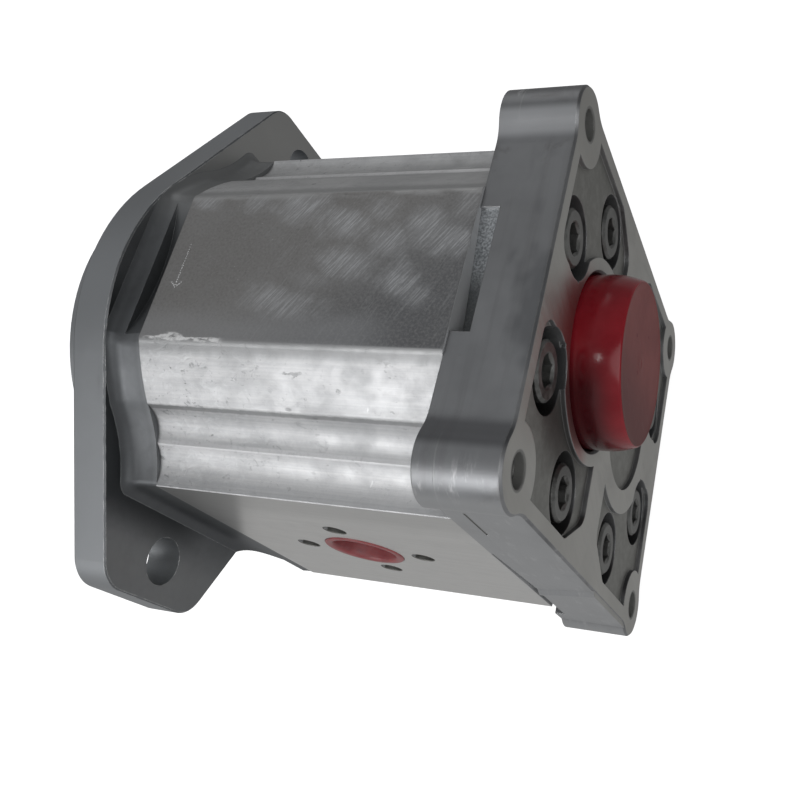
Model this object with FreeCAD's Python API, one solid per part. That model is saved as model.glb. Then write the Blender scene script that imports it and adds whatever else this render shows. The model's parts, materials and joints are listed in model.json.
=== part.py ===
import FreeCAD, Part
import os
import math

# External gear pump with two gears, millimetres.
# Frame: origin at the centre of the mounting face, on the drive shaft axis.
# +X runs from the mounting face through the pump to the rear cover,
# +Z points from the driven gear to the drive gear, +Y is the inlet side.

# ---------------------------------------------------------------- driving dimensions
GEAR_SPACING = 42.0            # between the two gear axes
DRIVEN_Z = -GEAR_SPACING       # driven gear axis
ZC = -GEAR_SPACING / 2         # body centre, midway between the gears

PLATE_T = 12.0                 # flange plate thickness
BLOCK_L = 26.0                 # bearing block length
GEAR_L = 40.0                  # gear chamber length
COVER_T = 22.0
X_BODY0 = 22.0                 # flange inner face and body front face
X_GEAR0 = X_BODY0 + BLOCK_L    # gear chamber
X_GEAR1 = X_GEAR0 + GEAR_L
X_BODY1 = X_GEAR1 + BLOCK_L    # body rear face and cover inner face
X_REAR = X_BODY1 + COVER_T     # cover outer face
PAST_FLANGE = 30.0             # cutting tools end here, beyond the flange
PAST_COVER = 140.0             # and here, beyond the cover
OVERRUN = 1.0                  # cutting tools start this far outside a face

BLOCK_R = 24.5                 # bearing block
TIP_R = BLOCK_R                # gear tip
BORE_R = BLOCK_R + 0.05        # gear bore in the body
JOURNAL_R = 12.0
BUSH_IN_R = JOURNAL_R + 0.03
BUSH_OUT_R = 13.5

BODY_HALF_Y = 57.0             # port faces
BODY_HALF_Z = 72.5             # top and bottom faces

SCREW_HOLE_R = 5.25
SCREW_L = 120.0                # below the head
WASHER_T = 1.8
SEAT_X = 122.9                 # screw seat in the cover
UNDER_HEAD = SEAT_X + WASHER_T
SCREW_TIP = UNDER_HEAD - SCREW_L

DOWEL_R = 3.0
DOWEL_REACH = 6.0              # of a pin to each side of its seam
DOWEL_HOLE_L = 6.5

# figure-eight seals at both body faces, and open seals in the bearing blocks
SEAL_T = 2.0
BODY_GROOVE_R = (29.5, 26.5)   # outer, inner
BLOCK_GROOVE_R = (21.6, 18.4)
BACKUP_T = 1.0                 # backup ring
SEAL_GAP = 0.1                 # between seal and groove wall

PORT_X = 66.6
PORT_CHAMFER = 0.6
PORT_REACH_Y = 9.0             # the bores stop this far from the pump's mid-plane
PORT_TAP_DEPTH = 9.5
# side along Y, bore radius, tapped hole circle diameter, tap radius, tap mouth radius
OUTLET = (-1, 12.0, 40.0, 3.4, 3.6)
INLET = (1, 13.5, 51.0, 4.25, 4.5)

SEAL_SEAT_R = 20.0             # shaft seal seat in the flange
SEAL_SEAT_X = 2.3
SNAP_R = 21.1                  # snap ring of the shaft seal
SNAP_X = (-7.2, -5.8)
SNAP_GAP = 0.1

SPLINE_TEETH = 13
REAR_SPLINE_R = (9.0, 7.7)     # major, minor

vec = FreeCAD.Vector
X_AXIS = vec(1, 0, 0)
QUADRANTS = ((1, 1), (1, -1), (-1, -1), (-1, 1))   # Y and Z signs, going round
os.makedirs("parts", exist_ok=True)


def mirrored(pairs):
    """Each place mirrored into all four quarters about the body centre."""
    return [(sy * y, sz * z + ZC) for y, z in pairs for sy in (1, -1) for sz in (1, -1)]


SCREWS = mirrored([(19.5, 54.7), (41.0, 25.6)])
DOWELS = [(31.0, 44.0 + ZC), (-31.0, -44.0 + ZC)]


# ---------------------------------------------------------------- helpers
def save(shape, node):
    shape.exportStep(os.path.join("parts", node + ".step"))


def cyl(radius, x0, x1, y=0.0, z=0.0):
    return Part.makeCylinder(radius, x1 - x0, vec(x0, y, z), X_AXIS)


def cone(r0, r1, x0, x1, y=0.0, z=0.0):
    return Part.makeCone(r0, r1, x1 - x0, vec(x0, y, z), X_AXIS)


def cyl_y(radius, y0, y1, x, z):
    return Part.makeCylinder(radius, abs(y1 - y0), vec(x, y0, z), vec(0, y1 - y0, 0))


def cone_y(r0, r1, y0, y1, x, z):
    return Part.makeCone(r0, r1, abs(y1 - y0), vec(x, y0, z), vec(0, y1 - y0, 0))


def box(x0, x1, y0, y1, z0, z1):
    return Part.makeBox(x1 - x0, y1 - y0, z1 - z0, vec(x0, y0, z0))


def fuse(shapes):
    return shapes[0].multiFuse(shapes[1:]).removeSplitter()


def cut(shape, tools):
    return shape.cut(tools[0].multiFuse(tools[1:]))


def fig8(radius, x0, x1):
    """Two joined discs, one on each gear axis."""
    return fuse([cyl(radius, x0, x1), cyl(radius, x0, x1, 0, DRIVEN_Z)])


def fig8_ring(r_out, r_in, x0, x1):
    return fig8(r_out, x0, x1).cut(fig8(r_in, x0, x1))


def polygon(points):
    return Part.makePolygon(points + points[:1])


def prism(wire, length):
    return Part.Face(wire).extrude(vec(length, 0, 0))


def ruled_loft(*wires):
    return Part.makeLoft(list(wires), True, True)


def turned(profile, y=0.0, z=0.0):
    """Part turned about X from a closed outline of (x, radius) points."""
    wire = polygon([vec(x, y, z + radius) for x, radius in profile])
    return Part.Face(wire).revolve(vec(0, y, z), X_AXIS, 360)


def round_wire(points, radii, x, z_shift=0.0):
    """Closed YZ polygon with a corner radius at every vertex."""
    places = [vec(x, y, z + z_shift) for y, z in points]
    count = len(places)
    corners = []
    for i, (corner, radius) in enumerate(zip(places, radii)):
        back = (places[i - 1] - corner).normalize()
        ahead = (places[(i + 1) % count] - corner).normalize()
        half_angle = math.acos(max(-1.0, min(1.0, back.dot(ahead)))) / 2
        reach = radius / math.tan(half_angle)
        inward = (back + ahead).normalize()
        centre = corner + inward * (radius / math.sin(half_angle))
        corners.append((corner + back * reach, centre - inward * radius, corner + ahead * reach))
    edges = []
    for i, (start, middle, end) in enumerate(corners):
        edges.append(Part.Arc(start, middle, end).toShape())
        following = corners[(i + 1) % count][0]
        if (following - end).Length > 1e-6:
            edges.append(Part.makeLine(end, following))
    return Part.Wire(edges)


def quarter_edges(x, start, steps, sy, sz):
    """Edges of one quarter outline; each step is (arc middle or None for a line, end)."""
    def place(point):
        return vec(x, sy * point[0], sz * point[1] + ZC)

    edges = []
    here = place(start)
    for middle, end in steps:
        there = place(end)
        if middle:
            edges.append(Part.Arc(here, place(middle), there).toShape())
        else:
            edges.append(Part.makeLine(here, there))
        here = there
    return edges


def sorted_wire(edges):
    return Part.Wire(Part.__sortEdges__(edges))


# ---------------------------------------------------------------- pump body
# Quarter outline from the top centre: flat top, sloping shoulder, two concave flutes, port face.
BODY_SIDE_Z = 45.95            # half height of the flat port face
BODY_QUARTER = [               # arc middle (y, z) or None, end (y, z)
    (None, (22.6, BODY_HALF_Z)),
    ((23.7, 72.25), (24.6, 71.6)),
    ((31.3, 66.75), (37.2, 61.3)),
    ((37.85, 60.6), (38.1, 59.8)),
    ((40.1, 55.3), (46.1, 51.6)),
    ((50.7, 47.55), (56.75, 46.2)),
    (None, (BODY_HALF_Y, BODY_SIDE_Z)),
]


def body_wire(x):
    edges = []
    for sy, sz in QUADRANTS:
        edges += quarter_edges(x, (0.0, BODY_HALF_Z), BODY_QUARTER, sy, sz)
    for y in (BODY_HALF_Y, -BODY_HALF_Y):
        edges.append(Part.makeLine(vec(x, y, BODY_SIDE_Z + ZC), vec(x, y, -BODY_SIDE_Z + ZC)))
    return sorted_wire(edges)


def pump_body():
    before, after = X_BODY0 - OVERRUN, X_BODY1 + OVERRUN
    tools = [fig8(BORE_R, before, after)]
    for y, z in SCREWS:
        tools.append(cyl(SCREW_HOLE_R, before, after, y, z))
    for y, z in DOWELS:
        tools.append(cyl(DOWEL_R, before, X_BODY0 + DOWEL_HOLE_L, y, z))
        tools.append(cyl(DOWEL_R, X_BODY1 - DOWEL_HOLE_L, after, y, z))
    # ports, each bored into the gear mesh
    face = BODY_HALF_Y
    for side, bore_r, *_ in (OUTLET, INLET):
        tools.append(cyl_y(bore_r, side * (face + OVERRUN), side * PORT_REACH_Y, PORT_X, ZC))
        tools.append(cone_y(bore_r + PORT_CHAMFER, bore_r,
                            side * face, side * (face - PORT_CHAMFER), PORT_X, ZC))
    for side, _, circle_d, tap_r, mouth_r in (OUTLET, INLET):
        for k in range(4):
            angle = math.radians(90 * k)
            x = PORT_X + circle_d / 2 * math.cos(angle)
            z = ZC + circle_d / 2 * math.sin(angle)
            tools.append(cyl_y(tap_r, side * (face + OVERRUN), side * (face - PORT_TAP_DEPTH),
                               x, z))
            tools.append(cone_y(mouth_r, tap_r, side * face, side * (face - (mouth_r - tap_r)),
                                x, z))
    return cut(prism(body_wire(X_BODY0), X_BODY1 - X_BODY0), tools)


save(pump_body(), "pump_body")

# ---------------------------------------------------------------- front flange
PLATE_R = 58.5                 # rounded top and bottom of the plate
PLATE_SLOPE = math.radians(28.87)
PLATE_HALF_Y = 85.5            # corners before rounding, at the ears
EAR_R = 11.0
EAR_HOLE_Y = 73.0
EAR_HOLE_R = 7.15
INNER_CHAMFER = 0.45           # on the plate's inner rim
OUTER_CHAMFER = (1.0, 0.8)     # on the mounting side: depth, inset

# Boss quarter outline from the top centre: flat top, sloping shoulder, one flute, flat side.
# Each point is (y, z, y growth, z growth).
BOSS_START = (0.0, 71.9, 0.0, 1.0)
BOSS_QUARTER = [               # arc middle or None, end
    (None, (22.0, 71.9, 0.3, 1.0)),
    ((24.0, 71.4, 0.45, 0.9), (25.4, 70.6, 0.6, 0.8)),
    ((31.2, 66.3, 0.65, 0.76), (36.2, 62.1, 0.7, 0.7)),
    ((37.3, 61.1, 0.75, 0.65), (38.2, 60.0, 0.75, 0.65)),
    ((45.6, 52.6, 0.65, 0.76), (55.6, 46.6, 0.7, 0.7)),
    ((56.5, 46.0, 0.85, 0.5), (56.9, 45.0, 1.0, 0.3)),
]
BOSS_STATIONS = [              # x, growth
    (X_BODY0, 0.0), (18.0, 0.15), (15.6, 0.45), (14.0, 1.0), (13.0, 1.8), (12.3, 2.9),
    (PLATE_T - 0.3, 4.2),
]
BOSS_RIM_X = 18.4              # start of the thin rim against the body

FOOT_X = (2.5, 3.5, 20.0)      # chamfered end, full outline, inner end
FOOT_SIDE = [                  # y, z, y growth, z growth, corner radius
    (50.0, 12.0, 1.0, 0.0, 2), (50.0, -20.0, 1.0, 0.0, 12), (45.5, -38.0, 1.0, 0.0, 12),
    (38.0, -54.0, 0.8, -0.6, 12), (30.0, -63.5, 0.6, -0.8, 12), (20.0, -69.0, 0.3, -1.0, 8),
]

PILOT_R = 50.8
PILOT_L = 9.7
PILOT_CHAMFER = 1.0
PILOT_SINK = 0.5               # overlap with the plate
FRONT_CLEAR = -20.0            # cutting tools start here, in front of the pilot
SHAFT_HOLE_R = 12.8
DRAIN_R = 15.5                 # drain chamber behind the seal
CHAMBER_DEPTH = 4.0            # chambers at both journals
END_CHAMBER_R = 13.0           # chamber at the driven journal, in flange and cover
RELIEF_R = (45.0, 26.0)        # annular relief in the pilot face: outer, inner
RELIEF_X = -4.0
FLANGE_SCREW_R = 5.0
FLANGE_SCREW_X = 4.0           # bottom of the screw holes
SCREW_MOUTH = 0.6              # chamfer at their mouths
TOP_SLOT_R = 60.0              # radius of the disc-shaped slot in the boss top
TOP_SLOT_Z = ZC + 71.5 - 3.5   # lowest point of the slot


def plate_wire(x, grow=0.0):
    radius = PLATE_R + grow
    ear_r = EAR_R + grow
    half_y = PLATE_HALF_Y + grow
    top = radius / math.cos(PLATE_SLOPE)
    ear_z = (radius - half_y * math.sin(PLATE_SLOPE)) / math.cos(PLATE_SLOPE)
    points = [(0, top), (half_y, ear_z), (half_y, -ear_z),
              (0, -top), (-half_y, -ear_z), (-half_y, ear_z)]
    return round_wire(points, [radius, ear_r, ear_r] * 2, x)


def boss_wire(x, grow):
    def grown(point):
        y, z, grow_y, grow_z = point
        return (y + grow * grow_y, z + grow * grow_z)

    steps = [(middle and grown(middle), grown(end)) for middle, end in BOSS_QUARTER]
    side_y, side_z = steps[-1][1]
    quarters = []
    for sy, sz in QUADRANTS:
        edges = quarter_edges(x, grown(BOSS_START), steps, sy, sz)
        edges.append(Part.makeLine(vec(x, sy * side_y, sz * side_z + ZC),
                                   vec(x, sy * side_y, ZC)))
        quarters.append(edges)
    return sorted_wire(quarters[0] + quarters[1][::-1] + quarters[2] + quarters[3][::-1])


def foot_wire(x, grow):
    side = [(y + grow_y * grow, z + grow_z * grow) for y, z, grow_y, grow_z, _ in FOOT_SIDE]
    radii = [row[-1] for row in FOOT_SIDE]
    return round_wire(side + [(-y, z) for y, z in side[::-1]], radii + radii[::-1], x, ZC)


def flange_blank():
    chamfer_x, chamfer_in = OUTER_CHAMFER
    x_rim = PLATE_T - INNER_CHAMFER
    plate = prism(plate_wire(chamfer_x), x_rim - chamfer_x)
    rim_in = ruled_loft(plate_wire(x_rim), plate_wire(PLATE_T, -INNER_CHAMFER))
    rim_out = ruled_loft(plate_wire(0.0, -chamfer_in), plate_wire(chamfer_x))
    boss = Part.makeLoft([boss_wire(x, grow) for x, grow in BOSS_STATIONS], True, False)
    # where the boss overhangs the plate its back slopes up to a thin rim at the body
    rim = boss.common(box(BOSS_RIM_X, PAST_FLANGE, -90, 90, -120, 80))
    slope = ruled_loft(plate_wire(PLATE_T - 0.4, -1.4), plate_wire(BOSS_RIM_X, 14.5))
    # the foot below the plate takes the lower body screws
    x_end, x_full, x_inner = FOOT_X
    foot = fuse([ruled_loft(foot_wire(x_end, -1.0), foot_wire(x_full, 0.0)),
                 prism(foot_wire(x_full, 0.0), x_inner - x_full)])
    pilot = fuse([cyl(PILOT_R, -PILOT_L + PILOT_CHAMFER, PILOT_SINK),
                  cone(PILOT_R - PILOT_CHAMFER, PILOT_R, -PILOT_L, -PILOT_L + PILOT_CHAMFER)])
    return fuse([plate, rim_in, rim_out, rim, boss.common(slope), foot, pilot])


def front_flange():
    x_chamber = X_BODY0 - CHAMBER_DEPTH
    tools = [cyl(SHAFT_HOLE_R, FRONT_CLEAR, PAST_FLANGE),
             cyl(SEAL_SEAT_R, FRONT_CLEAR, SEAL_SEAT_X),
             cone(SEAL_SEAT_R + 1.0, SEAL_SEAT_R, -PILOT_L, -PILOT_L + 1.0),   # lead-in
             cyl(SNAP_R + SNAP_GAP, SNAP_X[0] - SNAP_GAP, SNAP_X[1] + SNAP_GAP),
             cyl(DRAIN_R, x_chamber, PAST_FLANGE),
             cyl(END_CHAMBER_R, x_chamber, PAST_FLANGE, 0, DRIVEN_Z),
             cyl(RELIEF_R[0], FRONT_CLEAR, RELIEF_X).cut(cyl(RELIEF_R[1], FRONT_CLEAR, RELIEF_X))]
    for side in (1, -1):
        tools.append(cyl(EAR_HOLE_R, -OVERRUN, PAST_FLANGE, side * EAR_HOLE_Y, 0))
    for y, z in SCREWS:
        tools.append(cyl(FLANGE_SCREW_R, FLANGE_SCREW_X, PAST_FLANGE, y, z))
        tools.append(cone(FLANGE_SCREW_R, FLANGE_SCREW_R + SCREW_MOUTH,
                          X_BODY0 - SCREW_MOUTH, X_BODY0, y, z))
    for y, z in DOWELS:
        tools.append(cyl(DOWEL_R, X_BODY0 - DOWEL_HOLE_L, PAST_FLANGE, y, z))
    tools.append(fig8_ring(*BODY_GROOVE_R, X_BODY0 - SEAL_T, PAST_FLANGE))
    # pry slot in the top of the boss, against the body
    tools.append(cyl(TOP_SLOT_R, 16.5, PAST_FLANGE, -0.5, TOP_SLOT_Z + TOP_SLOT_R))
    return cut(flange_blank(), tools)


save(front_flange(), "front_flange")

# ---------------------------------------------------------------- rear cover
COVER_HALF_Y = 57.0
COVER_HALF_Z = 71.5
LOBE_Y = 49.2                  # corner lobes, from the body centre
LOBE_Z = 64.0
LOBE_R = 10.4
BLEND_R = 12.0                 # concave blends beside the lobes
COVER_BEVEL = (0.7, 0.6)       # outer edge: depth, inset

REAR_BORE_R = 25.4
REAR_BORE_X = 124.0
REAR_BORE_CHAMFER = 0.8
COUPLING_R = 17.0              # coupling chamber
COUPLING_X = 125.0
RECESS_R = 22.0                # shallow round recess on the driven gear axis
RECESS_DEPTH = 1.5             # also of the screw head pockets
END_CHAMBER_DEPTH = 3.0
HEAD_POCKET_R = 11.2
LOBE_TAP_R = 4.25
LOBE_TAP_MOUTH_R = 4.45
LOBE_TAP_DEPTH = 18.0

LAND_Y = (-58.1, -56.95, -55.0)   # outer face, foot of the slope, buried end
LAND_RISE = 2.6
POCKET_OUTLINE = [(9.0, 66.5), (52.3, 66.5), (52.3, 22.0), (43.4, 7.3), (9.0, 7.3)]   # y, z
POCKET_RADII = [6, 3, 4, 6, 0.5]


def cover_wire(x, grow=0.0):
    """Rectangle with a round lobe at each corner, joined by concave blends."""
    blend_r = BLEND_R - grow
    lobe_r = LOBE_R + grow
    half_y, half_z = COVER_HALF_Y + grow, COVER_HALF_Z + grow
    drop = math.sqrt((lobe_r + blend_r) ** 2 - (half_y + blend_r - LOBE_Y) ** 2)
    inset = math.sqrt((lobe_r + blend_r) ** 2 - (half_z + blend_r - LOBE_Z) ** 2)
    side_centre = (half_y + blend_r, LOBE_Z - drop)
    top_centre = (LOBE_Y - inset, half_z + blend_r)

    def toward(centre, target, radius):
        dy, dz = target[0] - centre[0], target[1] - centre[1]
        length = math.hypot(dy, dz)
        return (centre[0] + dy / length * radius, centre[1] + dz / length * radius)

    def blend_middle(centre, start, end):
        chord = ((start[0] + end[0]) / 2, (start[1] + end[1]) / 2)
        return toward(centre, chord, blend_r)

    # tangent points on the lobe and on the straight edges
    lobe = (LOBE_Y, LOBE_Z)
    lobe_side = toward(lobe, side_centre, lobe_r)
    lobe_top = toward(lobe, top_centre, lobe_r)
    side = (half_y, side_centre[1])
    top = (top_centre[0], half_z)
    angle = (math.atan2(lobe_side[1] - LOBE_Z, lobe_side[0] - LOBE_Y)
             + math.atan2(lobe_top[1] - LOBE_Z, lobe_top[0] - LOBE_Y)) / 2
    lobe_middle = (LOBE_Y + lobe_r * math.cos(angle), LOBE_Z + lobe_r * math.sin(angle))
    steps = [(blend_middle(side_centre, side, lobe_side), lobe_side),
             (lobe_middle, lobe_top),
             (blend_middle(top_centre, lobe_top, top), top)]
    edges = []
    for sy, sz in QUADRANTS:
        edges += quarter_edges(x, side, steps, sy, sz)
    for sign in (1, -1):
        y, z = sign * half_y, sign * half_z + ZC
        edges.append(Part.makeLine(vec(x, y, side[1] + ZC), vec(x, y, -side[1] + ZC)))
        edges.append(Part.makeLine(vec(x, top[0], z), vec(x, -top[0], z)))
    return sorted_wire(edges)


def land_wire(y, rise):
    points = [(X_BODY1, -25.0 + rise), (X_REAR - 0.3, -17.5 + rise),
              (X_REAR - 0.3, -59.0), (X_BODY1, -59.0)]
    return polygon([vec(x, y, z + ZC) for x, z in points])


def cover_blank():
    depth, inset = COVER_BEVEL
    x_bevel = X_REAR - depth
    cover = fuse([prism(cover_wire(X_BODY1), x_bevel - X_BODY1),
                  ruled_loft(cover_wire(x_bevel), cover_wire(X_REAR, -inset))])
    # low raised land on the outlet side, from the lower lobe up to a slanting sloped step
    outer, slope_foot, buried = LAND_Y
    land = fuse([ruled_loft(land_wire(outer, 0.0), land_wire(slope_foot, LAND_RISE)),
                 ruled_loft(land_wire(slope_foot, LAND_RISE), land_wire(buried, LAND_RISE))])
    return fuse([cover, land])


def head_pocket(sy, sz):
    """Shallow recess that holds two screw heads, drawn about the body centre."""
    pocket = prism(round_wire(POCKET_OUTLINE, POCKET_RADII, X_REAR - RECESS_DEPTH), 5.0)
    pocket = pocket.cut(cyl(29.6, 120, 150, 0, -ZC)).cut(cyl(11.5, 120, 150, LOBE_Y, LOBE_Z))
    pocket = max(pocket.Solids, key=lambda solid: solid.Volume)
    if sy < 0:
        pocket = pocket.mirror(vec(0, 0, 0), vec(0, 1, 0))
    if sz < 0:
        pocket = pocket.mirror(vec(0, 0, 0), vec(0, 0, 1))
    pocket.translate(vec(0, 0, ZC))
    return pocket


def lobe_tap(y, z):
    """Blind hole from the outer face with a drill point and a mouth chamfer."""
    x_bottom = X_REAR - LOBE_TAP_DEPTH
    inward = vec(-1, 0, 0)
    mouth = vec(X_REAR, y, z)
    return fuse([Part.makeCylinder(LOBE_TAP_R, LOBE_TAP_DEPTH, mouth, inward),
                 Part.makeCone(LOBE_TAP_R, 0, LOBE_TAP_R * 0.55, vec(x_bottom, y, z), inward),
                 Part.makeCone(LOBE_TAP_MOUTH_R, LOBE_TAP_R, LOBE_TAP_MOUTH_R - LOBE_TAP_R,
                               mouth, inward)])


def rear_cover():
    before = X_BODY1 - OVERRUN
    tools = [cyl(REAR_BORE_R, REAR_BORE_X, PAST_COVER),
             cone(REAR_BORE_R, REAR_BORE_R + REAR_BORE_CHAMFER,
                  X_REAR - REAR_BORE_CHAMFER, X_REAR),
             cyl(COUPLING_R, before, COUPLING_X),
             cyl(RECESS_R, X_REAR - RECESS_DEPTH, PAST_COVER, 0, DRIVEN_Z),
             cyl(END_CHAMBER_R, before, X_BODY1 + END_CHAMBER_DEPTH, 0, DRIVEN_Z)]
    for sy in (1, -1):
        for sz in (1, -1):
            tools.append(head_pocket(sy, sz))
    for y, z in SCREWS:
        tools.append(cyl(HEAD_POCKET_R, SEAT_X, PAST_COVER, y, z))
        tools.append(cyl(SCREW_HOLE_R, before, PAST_COVER, y, z))
    for y, z in mirrored([(LOBE_Y, LOBE_Z)]):
        tools.append(lobe_tap(y, z))
    for y, z in DOWELS:
        tools.append(cyl(DOWEL_R, before, X_BODY1 + DOWEL_HOLE_L, y, z))
    tools.append(fig8_ring(*BODY_GROOVE_R, before, X_BODY1 + SEAL_T))
    # pry slots against the body: a sloping one on top, one low on each side
    notch = [(-18.0, 63.5), (18.0, 70.5), (18.0, 82.0), (-18.0, 82.0)]   # y, z
    tools.append(prism(polygon([vec(before, y, ZC + z) for y, z in notch]), 6.5))
    for y0, y1 in ((53.5, 70.0), (-70.0, -53.5)):
        tools.append(box(before, X_BODY1 + 3.5, y0, y1, ZC - 50.5, ZC - 25.0))
    # shallow wedge-shaped relief along the seam on the outlet side
    wedge = [(113.0, 15.5), (114.6, 15.5), (116.4, -26.0), (113.0, -26.0)]   # x, z
    wedge_wire = polygon([vec(x, -70.0, z + ZC) for x, z in wedge])
    tools.append(Part.Face(wedge_wire).extrude(vec(0, 13.9, 0)))
    # casting witness groove near the upper lobe of the outlet side
    tools.append(box(119.4, 120.2, -70.0, -56.7, ZC + 34.5, ZC + 52.0))
    return cut(cover_blank(), tools)


save(rear_cover(), "rear_cover")

# ---------------------------------------------------------------- gears and shafts
MODULE = 3.25
TEETH = 12
PRESSURE = math.radians(20.0)
SHIFT = 0.57                   # profile shift, in modules
THIN = 0.05                    # tooth thinning per flank
FLANK_STEPS = 7
GEAR_END_GAP = 0.05            # to each bearing block
JOURNAL_SINK = 1.0             # journal overlap into the gear
SPLINE_X0 = -41.3              # front end of the drive shaft
SPLINE_X1 = -16.0
SPLINE_R = (10.9, 9.4)         # front spline: major, minor
CENTRE_R = 3.2                 # centre mark radius and depth


def involute_gear(axis_z, tooth_angle):
    """Spur gear; one tooth's centre points at tooth_angle, degrees from +Y towards +Z."""
    x0 = X_GEAR0 + GEAR_END_GAP
    pitch_r = MODULE * TEETH / 2
    base_r = pitch_r * math.cos(PRESSURE)
    root_r = pitch_r + (SHIFT - 1.25) * MODULE
    thickness = MODULE * (math.pi / 2 + 2 * SHIFT * math.tan(PRESSURE)) - 2 * THIN

    def involute(angle):
        return math.tan(angle) - angle

    def half_tooth(radius):
        angle = math.acos(min(1.0, base_r / radius))
        return thickness / (2 * pitch_r) + involute(PRESSURE) - involute(angle)

    def place(radius, angle):
        return vec(x0, radius * math.cos(angle), axis_z + radius * math.sin(angle))

    def flank(points):
        curve = Part.BSplineCurve()
        curve.interpolate(points)
        return curve.toShape()

    radii = [base_r + (TIP_R - base_r) * (k / FLANK_STEPS) ** 1.3
             for k in range(FLANK_STEPS + 1)]
    half_base = half_tooth(base_r)
    pitch = 2 * math.pi / TEETH
    edges = []
    for i in range(TEETH):
        mid = math.radians(tooth_angle) + i * pitch
        left = [place(radius, mid - half_tooth(radius)) for radius in radii]
        right = [place(radius, mid + half_tooth(radius)) for radius in radii[::-1]]
        root = place(root_r, mid + half_base)
        edges.append(Part.makeLine(place(root_r, mid - half_base), left[0]))
        edges.append(flank(left))
        edges.append(Part.Arc(left[-1], place(TIP_R, mid), right[0]).toShape())
        edges.append(flank(right))
        edges.append(Part.makeLine(right[-1], root))
        edges.append(Part.Arc(root, place(root_r, mid + pitch / 2),
                              place(root_r, mid + pitch - half_base)).toShape())
    return prism(sorted_wire(edges), X_GEAR1 - GEAR_END_GAP - x0)


def spline_prism(major_r, minor_r, x0, x1):
    """Straight-sided spline along X."""
    pitch = 2 * math.pi / SPLINE_TEETH
    root, tip = pitch * 0.34, pitch * 0.2      # half angles of a tooth
    points = []
    for i in range(SPLINE_TEETH):
        for radius, turn in ((minor_r, -root), (major_r, -tip), (major_r, tip), (minor_r, root)):
            angle = i * pitch + turn
            points.append(vec(x0, radius * math.cos(angle), radius * math.sin(angle)))
    return prism(polygon(points), x1 - x0)


def drive_gear_shaft():
    # one tooth points at the driven gear
    gear = involute_gear(0.0, -90.0)
    major_r, minor_r = SPLINE_R
    spline = spline_prism(major_r, minor_r, SPLINE_X0, SPLINE_X1).common(
        turned([(SPLINE_X0, 0), (SPLINE_X0, 9.2), (-39.6, major_r), (-20.0, major_r),
                (SPLINE_X1, minor_r), (SPLINE_X1, 0)]))
    spline = fuse([spline, cyl(9.38, -41.0, -10.0)])
    shaft = fuse([
        gear, spline,
        turned([(-18.0, 0), (-18.0, 9.6), (-16.8, 10.9), (10.0, 10.9), (12.0, 11.4),
                (14.0, 11.4), (14.0, 0)]),
        cyl(11.0, -8.0, 14.0),
        cyl(11.6, 13.5, 22.0),
        cyl(JOURNAL_R, 20.5, X_GEAR0 + JOURNAL_SINK),
        cyl(JOURNAL_R, X_GEAR1 - JOURNAL_SINK, X_BODY1),
        turned([(X_BODY1 - 0.5, 0), (X_BODY1 - 0.5, JOURNAL_R), (X_BODY1, JOURNAL_R),
                (X_BODY1 + 1.5, 9.2), (X_BODY1 + 1.5, 0)]),
        spline_prism(*REAR_SPLINE_R, X_BODY1 + 1.0, 126.0)])
    return shaft.cut(cone(CENTRE_R, 0, SPLINE_X0, SPLINE_X0 + CENTRE_R))


def driven_gear():
    # a tooth gap points at the drive gear
    x0, x1 = X_GEAR0 + JOURNAL_SINK, X_GEAR1 - JOURNAL_SINK
    gear = fuse([
        involute_gear(DRIVEN_Z, 90.0 + 180.0 / TEETH),
        turned([(22.5, 0), (22.5, 11.2), (23.3, JOURNAL_R), (x0, JOURNAL_R), (x0, 0)],
               0, DRIVEN_Z),
        turned([(x1, 0), (x1, JOURNAL_R), (112.7, JOURNAL_R), (113.5, 11.2), (113.5, 0)],
               0, DRIVEN_Z)])
    return gear.cut(cyl(4.0, 10, 130, 0, DRIVEN_Z))


def coupling_sleeve():
    """Internally splined sleeve that hands the drive on to a second pump."""
    sleeve = turned([(116.5, 0), (116.5, 13.2), (117.3, 14.0), (131.2, 14.0), (132.0, 13.2),
                     (132.0, 0)])
    major_r, minor_r = REAR_SPLINE_R
    return sleeve.cut(spline_prism(major_r + 0.05, minor_r + 0.05, 110.0, 140.0))


save(drive_gear_shaft(), "drive_gear_shaft")
save(driven_gear(), "driven_gear")
save(coupling_sleeve(), "rear_coupling_sleeve")


# ---------------------------------------------------------------- bearing blocks, bushes, seals
def open_ring(r_out, r_in, x0, x1):
    """Ring round both journals, open on the inlet side."""
    ring = fig8(r_out, x0, x1).cut(cyl(r_in, x0, x1)).cut(cyl(r_in, x0, x1, 0, DRIVEN_Z))
    return ring.cut(box(x0 - 1, x1 + 1, 11.0, 40.0, DRIVEN_Z - 40, 40))


def bearing_block(x0, x1, groove, pocket):
    """groove and pocket are the X spans cut into the outer and the gear-side face."""
    block = fig8(BLOCK_R, x0, x1)
    for z in (0, DRIVEN_Z):
        block = block.cut(cyl(BUSH_OUT_R, x0 - OVERRUN, x1 + OVERRUN, 0, z))
    block = block.cut(open_ring(*BLOCK_GROOVE_R, *groove))
    # trapped-oil relief pockets beside the mesh, one on each side
    for y0, y1 in ((4.0, 14.0), (-14.0, -4.0)):
        block = block.cut(box(*pocket, y0, y1, ZC - 4.5, ZC + 4.5))
    return block


def bush(x0, x1, z):
    return turned([(x0, BUSH_IN_R + 0.4), (x0, BUSH_OUT_R - 0.3), (x0 + 0.3, BUSH_OUT_R),
                   (x1 - 0.3, BUSH_OUT_R), (x1, BUSH_OUT_R - 0.3), (x1, BUSH_IN_R + 0.4),
                   (x1 - 0.4, BUSH_IN_R), (x0 + 0.4, BUSH_IN_R)], 0, z)


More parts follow.
